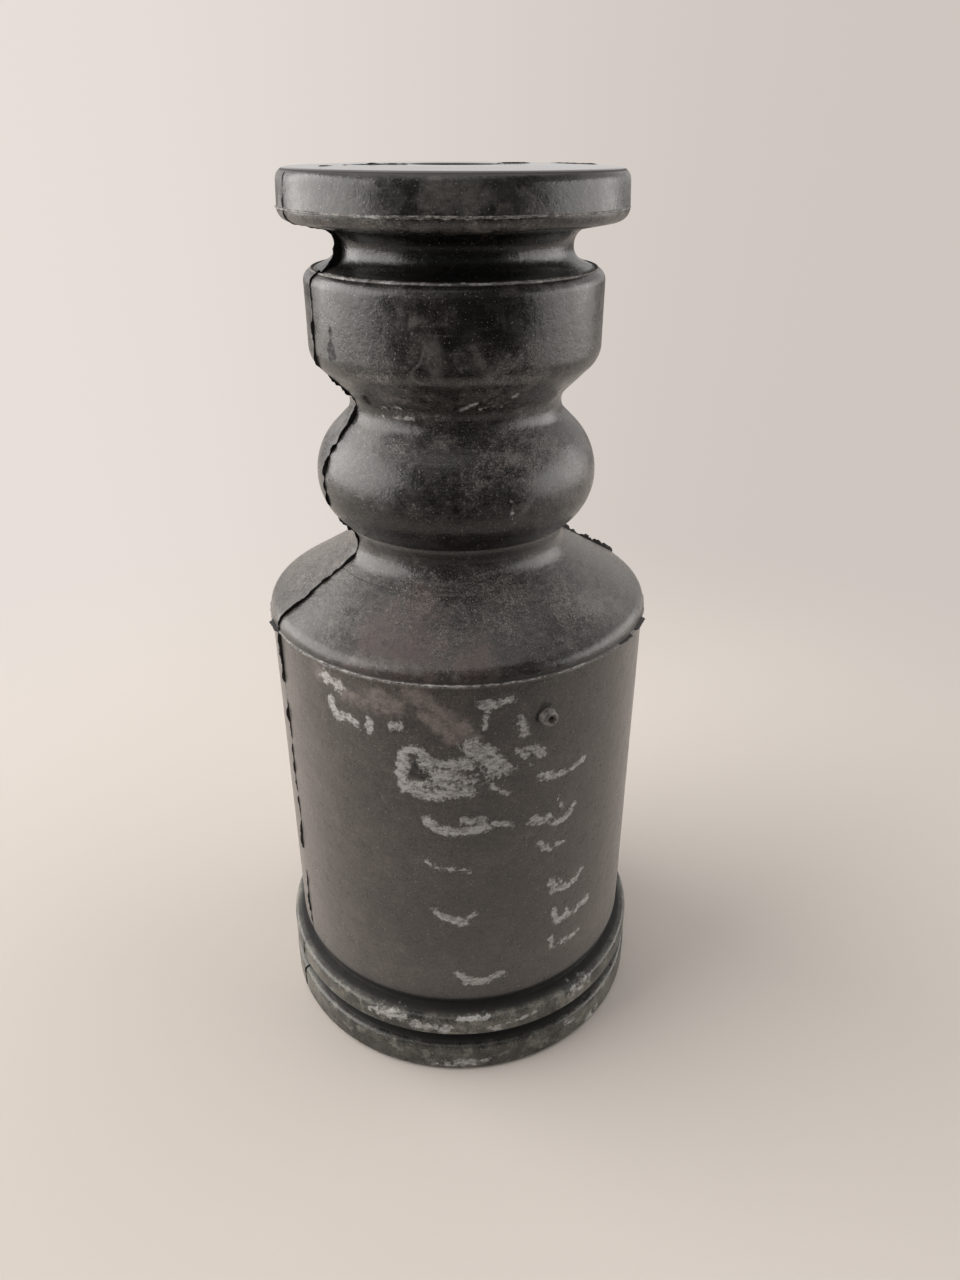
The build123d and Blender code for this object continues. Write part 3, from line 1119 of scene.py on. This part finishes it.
MARKS = (
    Mark(((-38.0, 81.0), (-33.5, 80.0)), 1.5, 0.7),
    Mark(((-36.5, 77.5), (-36.5, 75.5), (-34.5, 74.5), (-30.5, 75.0), (-27.0, 74.0)), 0.9, 0.7),
    Mark(((-24.0, 75.5), (-24.0, 73.5)), 0.9, 0.6),
    Mark(((-17.0, 75.5), (-14.0, 75.5)), 1.0, 0.5),
    Mark(((-11.0, 81.5), (-3.0, 78.5), (4.5, 75.0)), 2.0, 0.7, Trace.ROSE),
    Mark(((-8.0, 78.5), (-1.0, 74.5)), 1.6, 0.7, Trace.ROSE),
    Mark(((-22.0, 80.5), (-15.0, 79.0)), 1.8, 0.6, Trace.ROSE),
    Mark(((8.0, 80.0), (11.5, 80.0), (15.5, 80.3)), 1.0, 0.65),
    Mark(((9.0, 78.5), (8.0, 75.5)), 0.6, 0.5),
    Mark(((18.5, 76.5), (20.0, 74.0)), 1.0, 0.7),
    Mark(((-13.5, 71.0), (-15.0, 67.0), (-14.0, 64.0), (-8.0, 63.0), (4.0, 63.5)), 1.2, 1.0),
    Mark(((-13.5, 71.0), (-10.0, 71.5), (-7.5, 69.0), (-4.0, 69.5), (4.0, 69.0)), 1.1, 1.0),
    Mark(((-7.5, 69.0), (-3.0, 65.0), (4.0, 63.5)), 0.9, 0.9),
    Mark(((-5.0, 67.0), (3.0, 66.0)), 2.9, 0.25),
    Mark(((-13.0, 65.0), (-8.0, 64.5)), 1.6, 0.5),
    Mark(((-11.2, 67.0), (-8.2, 66.7)), 1.2, 1.0, Trace.STAIN),
    Mark(((-10.2, 69.2), (-10.0, 67.4)), 0.9, 0.9, Trace.STAIN),
    Mark(((4.5, 73.0), (11.0, 67.0)), 1.7, 0.7),
    Mark(((9.0, 71.5), (15.5, 67.5)), 1.4, 0.6),
    Mark(((17.5, 71.0), (22.0, 67.5)), 0.6, 0.6),
    Mark(((22.0, 70.5), (25.0, 69.5)), 1.2, 0.7),
    Mark(((26.0, 64.8), (27.5, 64.4)), 1.3, 1.0),
    Mark(((30.5, 64.0), (35.5, 64.0), (40.0, 65.0)), 0.8, 0.6),
    Mark(((11.0, 64.5), (15.0, 62.5)), 0.7, 0.5),
    Mark(((-8.0, 58.0), (-5.5, 56.0), (1.5, 55.5), (8.5, 56.0)), 1.1, 0.9),
    Mark(((2.5, 58.0), (8.5, 57.8)), 0.8, 0.6),
    Mark(((11.0, 57.0), (16.5, 56.0)), 0.7, 0.5),
    Mark(((23.0, 56.0), (28.0, 55.5)), 1.2, 0.9),
    Mark(((30.0, 54.0), (35.0, 54.0), (37.5, 56.0)), 0.8, 0.55),
    Mark(((31.5, 59.0), (33.0, 56.5)), 0.6, 0.4),
    Mark(((26.0, 50.5), (28.5, 48.5)), 0.9, 0.65),
    Mark(((32.0, 49.0), (35.5, 48.5)), 0.6, 0.5),
    Mark(((30.5, 41.0), (31.5, 38.5)), 1.0, 0.7),
    Mark(((32.0, 38.5), (38.0, 38.0), (43.0, 40.0)), 1.0, 0.65),
    Mark(((33.5, 40.5), (34.5, 38.5)), 0.5, 0.6),
    Mark(((32.5, 33.5), (33.5, 30.5)), 1.0, 0.7),
    Mark(((34.5, 31.0), (40.0, 30.5), (46.0, 31.5)), 1.0, 0.65),
    Mark(((37.0, 32.8), (38.0, 30.8)), 0.5, 0.6),
    Mark(((31.0, 27.0), (32.0, 24.5)), 0.9, 0.7),
    Mark(((33.0, 25.0), (39.0, 24.5), (43.5, 25.0)), 0.9, 0.6),
    Mark(((-8.0, 49.0), (-6.0, 48.0), (5.0, 47.0)), 0.7, 0.45),
    Mark(((-6.5, 38.0), (-4.0, 36.5), (2.5, 35.5)), 1.1, 0.65),
    Mark(((3.5, 36.5), (6.0, 37.5)), 0.6, 0.4),
    Mark(((1.0, 23.0), (3.0, 21.0), (9.5, 21.0), (14.5, 22.0)), 1.1, 0.6),
    # painted shadow: the dark crescent round the gate nub's upper left side
    Mark(((24.0, 76.2), (24.6, 77.4), (26.0, 78.0)), 0.9, 1.0, Trace.STAIN),
    Mark(((-41.0, 81.5), (-28.0, 79.0), (-19.0, 78.0)), 2.0, 0.3, Trace.ROSE),
    # painted highlight: a faint chalk line along the collar's ridge
    Mark(((-60.0, 139.0), (62.0, 139.0)), 0.17, 0.2),
    Mark(((-25.0, 87.6), (-9.0, 87.0)), 4.5, 0.9, Trace.WARM),
    Mark(((4.0, 86.8), (8.0, 86.6)), 3.0, 0.7, Trace.WARM),
    Mark(((-15.0, 92.0), (-12.0, 92.0)), 2.4, 0.6, Trace.WARM),
    Mark(((53.0, 90.0), (64.0, 88.0)), 2.6, 0.2, Trace.SCUFF),
    Mark(((-28.0, 85.9), (-8.0, 85.6)), 0.9, 0.6, Trace.SCUFF),
    Mark(((-49.3, 128.4), (-49.3, 129.6)), 1.15, 1.0, Trace.STAIN),
    Mark(((-49.3, 129.6), (-49.4, 132.0)), 0.6, 1.0, Trace.STAIN),
    Mark(((-56.0, 83.5), (42.0, 83.5)), 0.28, 1.0),
    Mark(((-28.0, 147.35), (20.0, 147.35)), 0.22, 0.7),
    Mark(((-6.0, 128.0), (-6.5, 131.0)), 1.8, 0.1, Trace.SCUFF),
    Mark(((3.0, 128.0), (3.0, 130.0)), 1.6, 0.1, Trace.SCUFF),
    Mark(((7.5, 131.0), (13.0, 127.6)), 1.3, 0.0, Trace.SCUFF),
    Mark(((-13.0, 134.3), (-12.5, 135.0)), 1.0, 0.2, Trace.SCUFF),
    Mark(((-2.0, 150.0), (6.0, 149.8)), 3.0, 1.0, Trace.SCUFF),
    Mark(((-17.5, 150.0), (-16.0, 148.8)), 2.6, 0.8, Trace.STAIN),
    Mark(((17.0, 150.8), (19.0, 149.4)), 2.2, 0.7, Trace.STAIN),
    Mark(((-22.0, 151.0), (-19.5, 150.7)), 1.0, 0.6, Trace.SCUFF),
    Mark(((22.0, 108.5), (23.0, 105.0)), 0.5, 0.15),
    Mark(((3.5, 121.3), (10.5, 122.6)), 0.5, 0.2),
    Mark(((13.0, 121.4), (19.0, 121.9)), 0.5, 0.1),
    Mark(((20.0, 120.5), (27.0, 123.5)), 0.5, 0.05),
    Mark(((-44.0, 118.9), (-20.0, 119.6)), 0.5, 0.05),
    Mark(((-38.0, 120.8), (-24.0, 121.1)), 0.45, 0.1),
    Mark(((-27.0, 12.0), (-16.0, 12.5)), 1.4, 0.4),
    Mark(((-13.0, 11.6), (-3.0, 11.0)), 1.3, 0.7),
    Mark(((0.0, 13.3), (10.0, 13.4)), 0.4, 0.3),
    Mark(((10.0, 10.8), (13.0, 10.6)), 0.9, 0.4),
    Mark(((15.5, 11.2), (24.5, 12.2)), 0.5, 0.5),
    Mark(((37.0, 12.0), (45.0, 12.3)), 1.9, 0.1),
    Mark(((-7.0, 2.0), (5.0, 2.0)), 1.5, 0.1),
    Mark(((8.0, 2.4), (11.0, 2.4)), 0.7, 0.2),
    Mark(((36.0, 4.4), (38.0, 4.4)), 1.3, 0.3),
    Mark(((47.0, 1.8), (50.0, 1.8)), 1.6, 0.3),
)


# --- The moulding's zones --------------------------------------------------------------------


@dataclass(frozen=True)
class Zone:
    """One zone of the moulding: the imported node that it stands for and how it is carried."""

    node: str
    body: str
    squeezed_by: str = ""


ZONES = (
    Zone("lower_rib", "sleeve"), Zone("upper_rib", "sleeve"), Zone("dust_sleeve", "sleeve"),
    Zone("shoulder", "sleeve"), Zone("root_neck", "sleeve", "root_squeeze"),
    Zone("bulge", "bulge"), Zone("waist_neck", "bulge", "waist_squeeze"),
    Zone("collar", "collar"), Zone("head_neck", "collar", "head_squeeze"),
    Zone("flange", "head"),
)
BLOOMED_ZONES = ("dust_sleeve", "shoulder", "root_neck")        # with a pale bloom all over


def path_mesh(name: str, chains: list[list[tuple[Vector, Vector, Vector, float]]],
              closed: bool) -> bpy.types.Mesh:
    """Make the path that a flash follows.

    Args:
        name: The mesh's name.
        chains: Runs of points, each with its place, its outward and sideways directions and
            how far the flash stands out.
        closed: Whether each run comes back to its start.

    Returns:
        A mesh of edges that carries those as attributes.
    """
    points = [point for chain in chains for point in chain]
    edges, first = [], 0
    for chain in chains:
        edges += [(first + i, first + i + 1) for i in range(len(chain) - 1)]
        if closed:
            edges.append((first + len(chain) - 1, first))
        first += len(chain)
    mesh = bpy.data.meshes.new(name)
    mesh.from_pydata([point[0] for point in points], edges, [])
    for label, slot in (("outward", 1), ("sideways", 2)):
        layer = mesh.attributes.new(label, "FLOAT_VECTOR", "POINT")
        for item, point in zip(layer.data, points):
            item.vector = point[slot]
    carry(mesh, "stand", np.array([point[3] for point in points]))
    return mesh


def held(piece: bpy.types.Object, zone: Zone, box: tuple[Vector, Vector], travel: float) -> None:
    """Carry a piece with its zone: ride on the body, with a mesh of its own where it is squeezed.

    Args:
        piece: The piece.
        zone: Its zone.
        box: The zone's lowest and highest corners; not used.
        travel: How far the zone's joint moves, in metres; not used.
    """
    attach(piece, zone.body)
    if zone.squeezed_by:
        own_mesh(piece)


@dataclass
class Moulding:
    """The turned rubber, zone by zone."""

    outline: Outline
    travels: dict[str, float]
    rubber: bpy.types.Material
    dusty: bpy.types.Material
    segments: int = 400
    unevenness: float = 0.07 * MM
    swell_length: float = 15.0 * MM
    seed: int = 4
    tree: bpy.types.NodeTree = field(default_factory=turned_zone_tree)

    def build(self) -> list[bpy.types.Object]:
        """Turn every zone and put it in its place.

        Returns:
            The zones' pieces.
        """
        made = []
        for zone in ZONES:
            low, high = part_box(zone.node)
            rubber = self.dusty if zone.node in BLOOMED_ZONES else self.rubber
            piece = self.turn(f"{zone.node}_rubber", self.section(low.z, high.z), rubber)
            lay_film(piece.data)
            lay_marks(piece.data, MARKS)
            held(piece, zone, (low, high), self.travels.get(zone.squeezed_by, 0.0))
            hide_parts(zone.node)
            LOG.info("zone %s, %.1f to %.1f mm", piece.name, low.z / MM, high.z / MM)
            made.append(piece)
        return made

    def section(self, low: float, high: float) -> list[tuple[float, float]]:
        """Cut the outline to one zone's closed section.

        Args:
            low: The zone's lower height in metres.
            high: The zone's upper height in metres.

        Returns:
            Radius and height of each point round the section.
        """
        outer = Outline.between(self.outline.outer, low, high)
        inner = Outline.between(self.outline.inner, low, high)
        points = [(point.radius, point.height) for point in outer + inner]
        kept = [points[0]]
        for point in points[1:]:
            if math.dist(point, kept[-1]) > APART:
                kept.append(point)
        if math.dist(kept[0], kept[-1]) < APART:
            kept.pop()
        return kept

    def turn(self, name: str, section: list[tuple[float, float]],
             material: bpy.types.Material) -> bpy.types.Object:
        """Turn a closed section about +Z.

        Args:
            name: The piece's name.
            section: Radius and height of each point.
            material: What it is made of.

        Returns:
            The turned piece.
        """
        mesh = bpy.data.meshes.new(name)
        count = len(section)
        mesh.from_pydata([(radius - SWEEP_RADIUS, -height, 0.0) for radius, height in section],
                         [(i, (i + 1) % count) for i in range(count)], [])
        piece = grow(name, mesh, self.tree, {
            "Segments": self.segments, "Unevenness": self.unevenness,
            "Swell Length": self.swell_length, "Seed": self.seed, "Rubber": material})
        facing_out(piece.data)
        return piece


# How far the flash of each seam stands out, by height, both in millimetres.
SEAM_STANDS = {
    Seam.LEFT: (
        (0.6, -0.30), (1.2, 0.30), (17.0, 0.35), (40.0, 0.40), (76.0, 0.55), (84.0, 0.50),
        (90.0, 0.62), (94.0, 0.85), (99.0, 0.90), (106.0, 0.60), (112.0, 0.80), (119.0, 1.00),
        (124.0, 0.90), (127.0, 0.45), (136.0, 0.30), (138.9, 0.30), (140.0, 1.10), (142.0, 1.30),
        (143.6, 0.80), (144.8, 0.25), (152.0, 0.20), (153.1, 0.25),
    ),
    Seam.RIGHT: (
        (0.6, -0.30), (1.2, 0.20), (20.0, 0.25), (80.0, 0.35), (86.0, 0.60), (89.0, 1.20),
        (94.0, 1.10), (100.0, 0.50), (120.0, 0.40), (138.0, 0.40), (140.5, 0.80), (146.0, 0.40),
        (152.5, 0.20), (153.1, 0.17),
    ),
}
USUAL_BREAKS = 0.43             # how much of a seam's flash is torn away, where not said below
SEAM_BREAKS = {"head_neck": 0.2, "shoulder": 0.38, "root_neck": 0.3, "collar": 0.34}
CALM_ZONE = "head_neck"         # the one where the seam's flash is even
SUNK = -0.2                     # millimetres that a ring stands out where none of it shows


@dataclass(frozen=True)
class RingFlash:
    """A flash that runs round the moulding: its piece, its zone, its place and size in
    millimetres, how much of it is torn away, whether it is fresh, and where it runs."""

    name: str
    zone: str
    radius: float
    height: float
    stand: float
    thickness: float
    breaks: float
    fresh: bool = False
    spans: tuple[tuple[float, float], ...] = ((-180.0, 180.0),)

    def stand_at(self, turn: float) -> float:
        """How far it stands out at a turn in radians: sunk in the rubber outside its spans."""
        azimuth = (math.degrees(turn) + 180.0) % 360.0 - 180.0
        return self.stand if any(low <= azimuth <= high for low, high in self.spans) else SUNK


RINGS = (
    RingFlash("flange_line_flash", "flange", 26.05, 147.45, 0.34, 0.34, 0.36),
    RingFlash("shoulder_lip_flash", "shoulder", 33.28, 83.58, 0.26, 0.22, 0.30),
    RingFlash("shoulder_lip_shreds", "shoulder", 33.25, 83.66, 0.75, 0.30, 0.30, True,
              ((54.0, 60.0), (64.0, 72.0), (-70.0, -62.0))),
)


@dataclass
class MouldFlash:
    """The thin ragged rubber along the mould's seams and joint lines."""

    outline: Outline
    travels: dict[str, float]
    rubber: bpy.types.Material
    dusty: bpy.types.Material
    spacing: float = 0.22 * MM
    root_depth: float = 0.35 * MM
    seam_thickness: float = 0.24 * MM
    tear_length: float = 2.6 * MM
    raggedness: float = 1.0
    calm_raggedness: float = 0.3
    waver: float = 1.3 * MM
    calm_waver: float = 0.3 * MM
    seed: int = 21
    top_reach: float = 0.6 * MM     # below the top, down to which the seam is followed inwards
    bore_edge: float = 7.2 * MM     # radius where it ends there
    ring_points: int = 240
    ring_coarseness: float = 1.6
    ring_raggedness: float = 0.7
    ring_waver: float = 0.2 * MM
    ring_seed: int = 26
    tree: bpy.types.NodeTree = field(default_factory=flash_tree)

    def build(self) -> list[bpy.types.Object]:
        """Lay the flash along both seams and round the joint lines.

        Returns:
            The flash's pieces.
        """
        made = [self.seams(zone) for zone in ZONES] + [self.ring(shape) for shape in RINGS]
        for piece in made:
            LOG.info("flash %s, %d faces", piece.name, len(piece.data.polygons))
        return made

    def seams(self, zone: Zone) -> bpy.types.Object:
        """Lay the flash of both seams over one zone.

        Args:
            zone: The zone.

        Returns:
            The flash's piece.
        """
        low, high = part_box(zone.node)
        chains = []
        for seam, stands in SEAM_STANDS.items():
            heights, reaches = zip(*stands)
            turn = math.radians(seam.value)
            spoke = spoke_at(turn)
            side = Vector((math.cos(turn), math.sin(turn), 0.0))
            line = Outline.between(self.outline.outer, low.z, high.z)
            if zone.node == "flange":
                line += [point for point in self.outline.inner
                         if point.height > high.z - self.top_reach
                         and point.radius > self.bore_edge]
            chains.append([(spoke * p.radius + Vector((0, 0, p.height)),
                            spoke * p.out_radius + Vector((0, 0, p.out_height)), side,
                            float(np.interp(p.height / MM, heights, reaches)) * MM)
                           for p in line])
        base = path_mesh(f"{zone.node}_seam", chains, closed=False)
        calm = zone.node == CALM_ZONE
        piece = grow(f"{zone.node}_seam_flash", base, self.tree, {
            "Spacing": self.spacing, "Thickness": self.seam_thickness,
            "Root Depth": self.root_depth, "Tear Length": self.tear_length,
            "Raggedness": self.calm_raggedness if calm else self.raggedness,
            "Breaks": SEAM_BREAKS.get(zone.node, USUAL_BREAKS),
            "Waver": self.calm_waver if calm else self.waver, "Seed": self.seed,
            "Rubber": self.rubber})
        held(piece, zone, (low, high), self.travels.get(zone.squeezed_by, 0.0))
        return piece

    def ring(self, shape: RingFlash) -> bpy.types.Object:
        """Lay a flash round the moulding at one height.

        Args:
            shape: Its name, zone, place and size.

        Returns:
            The flash's piece.
        """
        zone = next(zone for zone in ZONES if zone.node == shape.zone)
        chain = []
        for step in range(self.ring_points):
            turn = math.tau * step / self.ring_points
            spoke = spoke_at(turn)
            place = spoke * shape.radius * MM + Vector((0, 0, shape.height * MM))
            chain.append((place, spoke, Vector((0, 0, 1)), shape.stand_at(turn) * MM))
        base = path_mesh(shape.name, [chain], closed=True)
        piece = grow(shape.name, base, self.tree, {
            "Spacing": self.spacing * self.ring_coarseness, "Thickness": shape.thickness * MM,
            "Root Depth": self.root_depth, "Raggedness": self.ring_raggedness,
            "Tear Length": self.tear_length, "Breaks": shape.breaks, "Waver": self.ring_waver,
            "Seed": self.ring_seed, "Rubber": self.rubber if shape.fresh else self.dusty})
        held(piece, zone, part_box(zone.node), self.travels.get(zone.squeezed_by, 0.0))
        return piece


@dataclass
class GateNub:
    """The round nub where the rubber was let into the mould."""

    moulding: Moulding
    rubber: bpy.types.Material
    azimuth: float = 26.4
    wall_radius: float = 33.0
    radius: float = 1.3
    height: float = 1.3
    root: float = 0.6
    dimple_radius: float = 0.62
    dimple_depth: float = 0.7
    film: FilmStop = FilmStop(0.0, 0.62, 0.9, 0.5, 0.4)

    def build(self) -> bpy.types.Object:
        """Turn the nub and stand it on the sleeve.

        Returns:
            The nub.
        """
        top = self.height
        section = [(0.0, -self.root), (self.radius + 0.25, -self.root), (self.radius + 0.22, 0.0),
                   (self.radius + 0.04, 0.22), (self.radius, top - 0.35),
                   (self.radius - 0.10, top - 0.12), (self.radius - 0.32, top),
                   (self.dimple_radius + 0.15, top - 0.02), (self.dimple_radius, top - 0.16),
                   (0.5 * self.dimple_radius, top - self.dimple_depth),
                   (0.0, top - self.dimple_depth - 0.05)]
        low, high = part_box("gate_nub")
        piece = self.moulding.turn("gate_nub_rubber", [(r * MM, h * MM) for r, h in section],
                                   self.rubber)
        for label in FILM_LABELS:
            carry(piece.data, label,
                  np.full(len(piece.data.vertices), getattr(self.film, label)))
        spoke = spoke_at(math.radians(self.azimuth))
        centre = spoke * self.wall_radius * MM + Vector((0, 0, 0.5 * (low.z + high.z)))
        stand = Vector((0, 0, 1)).rotation_difference(spoke).to_matrix().to_4x4()
        piece.data.transform(Matrix.Translation(centre) @ stand)
        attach(piece, "sleeve")
        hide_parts("gate_nub")
        LOG.info("nub %s", piece.name)
        return piece


# --- Studio ----------------------------------------------------------------------------------


OBJECT_MIDDLE = Vector((0.0, 0.0, 0.08))        # in metres, what the lamps look at


@dataclass(frozen=True)
class SoftLamp:
    """A large soft lamp that looks at the object's middle."""

    name: str
    place: tuple[float, float, float]
    width: float
    tall: float
    radiance: float
    colour: Colour = (1.0, 0.97, 0.94)

    def build(self) -> bpy.types.Object:
        """Hang the lamp.

        Returns:
            The lamp's object.
        """
        light = bpy.data.lights.new(self.name, "AREA")
        light.shape = "RECTANGLE"
        light.size, light.size_y = self.width, self.tall
        light.energy = self.radiance * math.pi * self.width * self.tall
        light.color = self.colour
        lamp = bpy.data.objects.new(self.name, light)
        lamp.location = self.place
        aim = OBJECT_MIDDLE - Vector(self.place)
        lamp.rotation_euler = aim.to_track_quat("-Z", "Y").to_euler()
        lamp.visible_camera = False
        bpy.context.scene.collection.objects.link(lamp)
        return lamp


@dataclass(frozen=True)
class Studio:
    """Pale floor, pale surroundings and soft lamps."""

    floor_left: Colour = (0.600, 0.555, 0.516)
    floor_right: Colour = (0.625, 0.581, 0.543)
    left_tone: Colour = (0.80, 0.735, 0.69)
    right_tone: Colour = (0.62, 0.565, 0.525)
    unlit: Colour = (0.03, 0.03, 0.03)
    sky: Colour = (0.97, 0.94, 0.92)
    front_light: float = 0.10
    back_light: float = 0.85
    side_light: float = 0.25
    overhead_share: float = 0.35
    paper_end: tuple[float, float] = (0.075, 0.26)      # metres out where the camera sees it end
    middle: float = 0.12            # metres out within which the backdrop's tones are mixed
    paper_change: float = 0.07      # metres to each side over which the floor's painted light changes
    unlit_from: tuple[float, float] = (-0.06, -0.26)    # metres in front where its light stops
    lamps: tuple[SoftLamp, ...] = (
        SoftLamp("lamp_left", (-0.50, -0.01, 0.26), 0.78, 0.50, 4.4),
        SoftLamp("lamp_right", (0.55, 0.03, 0.18), 0.68, 0.34, 3.0),
        SoftLamp("lamp_above", (-0.10, 0.05, 0.80), 1.00, 0.80, 1.15),
    )

    def build(self) -> None:
        """Set up the floor, the surroundings and the lamps."""
        self._floor()
        self._surroundings()
        for lamp in self.lamps:
            lamp.build()

    def _backdrop_tone(self, writer: TreeWriter, across: Socket) -> Socket:
        """Glow of the backdrop, painted paler on the left as if lit from that side.

        Args:
            writer: The tree's writer.
            across: How far to the right, from -1 to 1.

        Returns:
            The colour.
        """
        share = writer.ease(across, -0.45, 0.35)
        return writer.tint(share, self.left_tone, self.right_tone)

    def _floor(self) -> None:
        """Lay a round pale floor that fades into the backdrop's tone far out."""
        shape = bmesh.new()
        bmesh.ops.create_circle(shape, cap_ends=True, radius=6.0, segments=96)
        mesh = bpy.data.meshes.new("floor")
        shape.to_mesh(mesh)
        shape.free()
        floor = bpy.data.objects.new("floor", mesh)
        bpy.context.scene.collection.objects.link(floor)
        material = bpy.data.materials.new("floor_paper")
        writer = started(material)
        place = writer.node("ShaderNodeTexCoord").outputs["Object"]
        x, y, _ = writer.node("ShaderNodeSeparateXYZ", {0: place}).outputs
        distance = writer.node("ShaderNodeVectorMath", {0: place},
                               operation="LENGTH").outputs["Value"]
        tone = self._backdrop_tone(writer, writer.math("DIVIDE", x,
                                                       writer.plus(distance, self.middle)))
        # painted light: the paper is painted a little paler on the right, lifting the object's
        # shade there
        side = writer.ease(x, -self.paper_change, self.paper_change)
        paper = writer.node("ShaderNodeBsdfDiffuse", {
            "Color": writer.tint(side, self.floor_left, self.floor_right), "Roughness": 0.3})
        glow = writer.node("ShaderNodeEmission", {"Color": tone, "Strength": 1.0})
        eye = writer.node("ShaderNodeLightPath").outputs["Is Camera Ray"]
        shade = writer.node("ShaderNodeBsdfDiffuse", {"Color": (*self.unlit, 1.0)})
        ground = writer.node("ShaderNodeMixShader", {
            0: writer.times(writer.ease(y, *self.unlit_from), writer.less(1.0, eye)),
            1: paper.outputs[0], 2: shade.outputs[0]})
        mixed = writer.node("ShaderNodeMixShader", {
            0: writer.times(writer.ease(distance, *self.paper_end), eye),
            1: ground.outputs[0], 2: glow.outputs[0]})
        writer.node("ShaderNodeOutputMaterial", {"Surface": mixed.outputs[0]})
        mesh.materials.append(material)

    def _surroundings(self) -> None:
        """Light from behind and from the sides, little from the front and from overhead."""
        world = bpy.data.worlds.new("studio")
        bpy.context.scene.world = world
        writer = started(world)
        towards = writer.node("ShaderNodeTexCoord").outputs["Generated"]
        x, y, z = writer.node("ShaderNodeSeparateXYZ", {0: towards}).outputs
        behind = writer.ease(y, -0.35, 0.45, self.front_light, self.back_light)
        sides = writer.ease(writer.math("ABSOLUTE", x), 0.55, 0.95, 0.0, self.side_light)
        low_down = writer.ease(z, 0.55, 0.95, 1.0, self.overhead_share)
        level = writer.times(writer.plus(behind, sides), low_down)
        glow = writer.node("ShaderNodeBackground", {
            "Color": (*self.sky, 1.0), "Strength": level})
        seen = writer.node("ShaderNodeBackground", {
            "Color": self._backdrop_tone(writer, x), "Strength": 1.0})
        eye = writer.node("ShaderNodeLightPath").outputs["Is Camera Ray"]
        mixed = writer.node("ShaderNodeMixShader", {
            0: eye, 1: glow.outputs[0], 2: seen.outputs[0]})
        writer.node("ShaderNodeOutputWorld", {"Surface": mixed.outputs[0]})


@dataclass(frozen=True)
class Viewpoint:
    """The camera that looks down on the object from close by."""

    place: tuple[float, float, float] = (0.00404, -0.1542, 0.1561)
    pitch: float = 28.09
    roll: float = 0.14
    lens: float = 26.40

    def build(self) -> None:
        """Put the camera in place and look through it."""
        data = bpy.data.cameras.new("view")
        data.lens = self.lens
        data.sensor_width = 36.0
        data.clip_start = 0.01
        camera = bpy.data.objects.new("view", data)
        tilt = Euler((math.radians(90.0 - self.pitch), 0.0, 0.0)).to_matrix().to_4x4()
        turn = Matrix.Rotation(math.radians(self.roll), 4, "Z")
        camera.matrix_world = Matrix.Translation(self.place) @ tilt @ turn
        bpy.context.scene.collection.objects.link(camera)
        bpy.context.scene.camera = camera
        bpy.context.scene.view_settings.view_transform = "Standard"


# --- The whole object ------------------------------------------------------------------------


def main() -> None:
    """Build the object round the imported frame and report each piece."""
    logging.basicConfig(level=logging.INFO, format="%(name)s: %(message)s")
    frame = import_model()
    travels = {joint["name"]: max(abs(end) for end in joint["range_m"])
               for joint in frame["joints"]}

    Viewpoint().build()
    Studio().build()

    outline = Outline(MouldingSizes())
    rubber = MouldedRubber("moulded_rubber").make()
    torn = TornRubber("torn_rubber", (0.0045, 0.0042, 0.0040), (0.050, 0.046, 0.042), 0.20).make()
    dusty = TornRubber("dusty_edge", (0.045, 0.042, 0.039), (0.30, 0.28, 0.26), 0.34).make()
    bloomed = MouldedRubber("bloomed_rubber", bloom=0.22).make()
    moulding = Moulding(outline, travels, rubber, bloomed)
    moulding.build()
    GateNub(moulding, rubber).build()
    MouldFlash(outline, travels, torn, dusty).build()


if __name__ == "__main__":
    main()
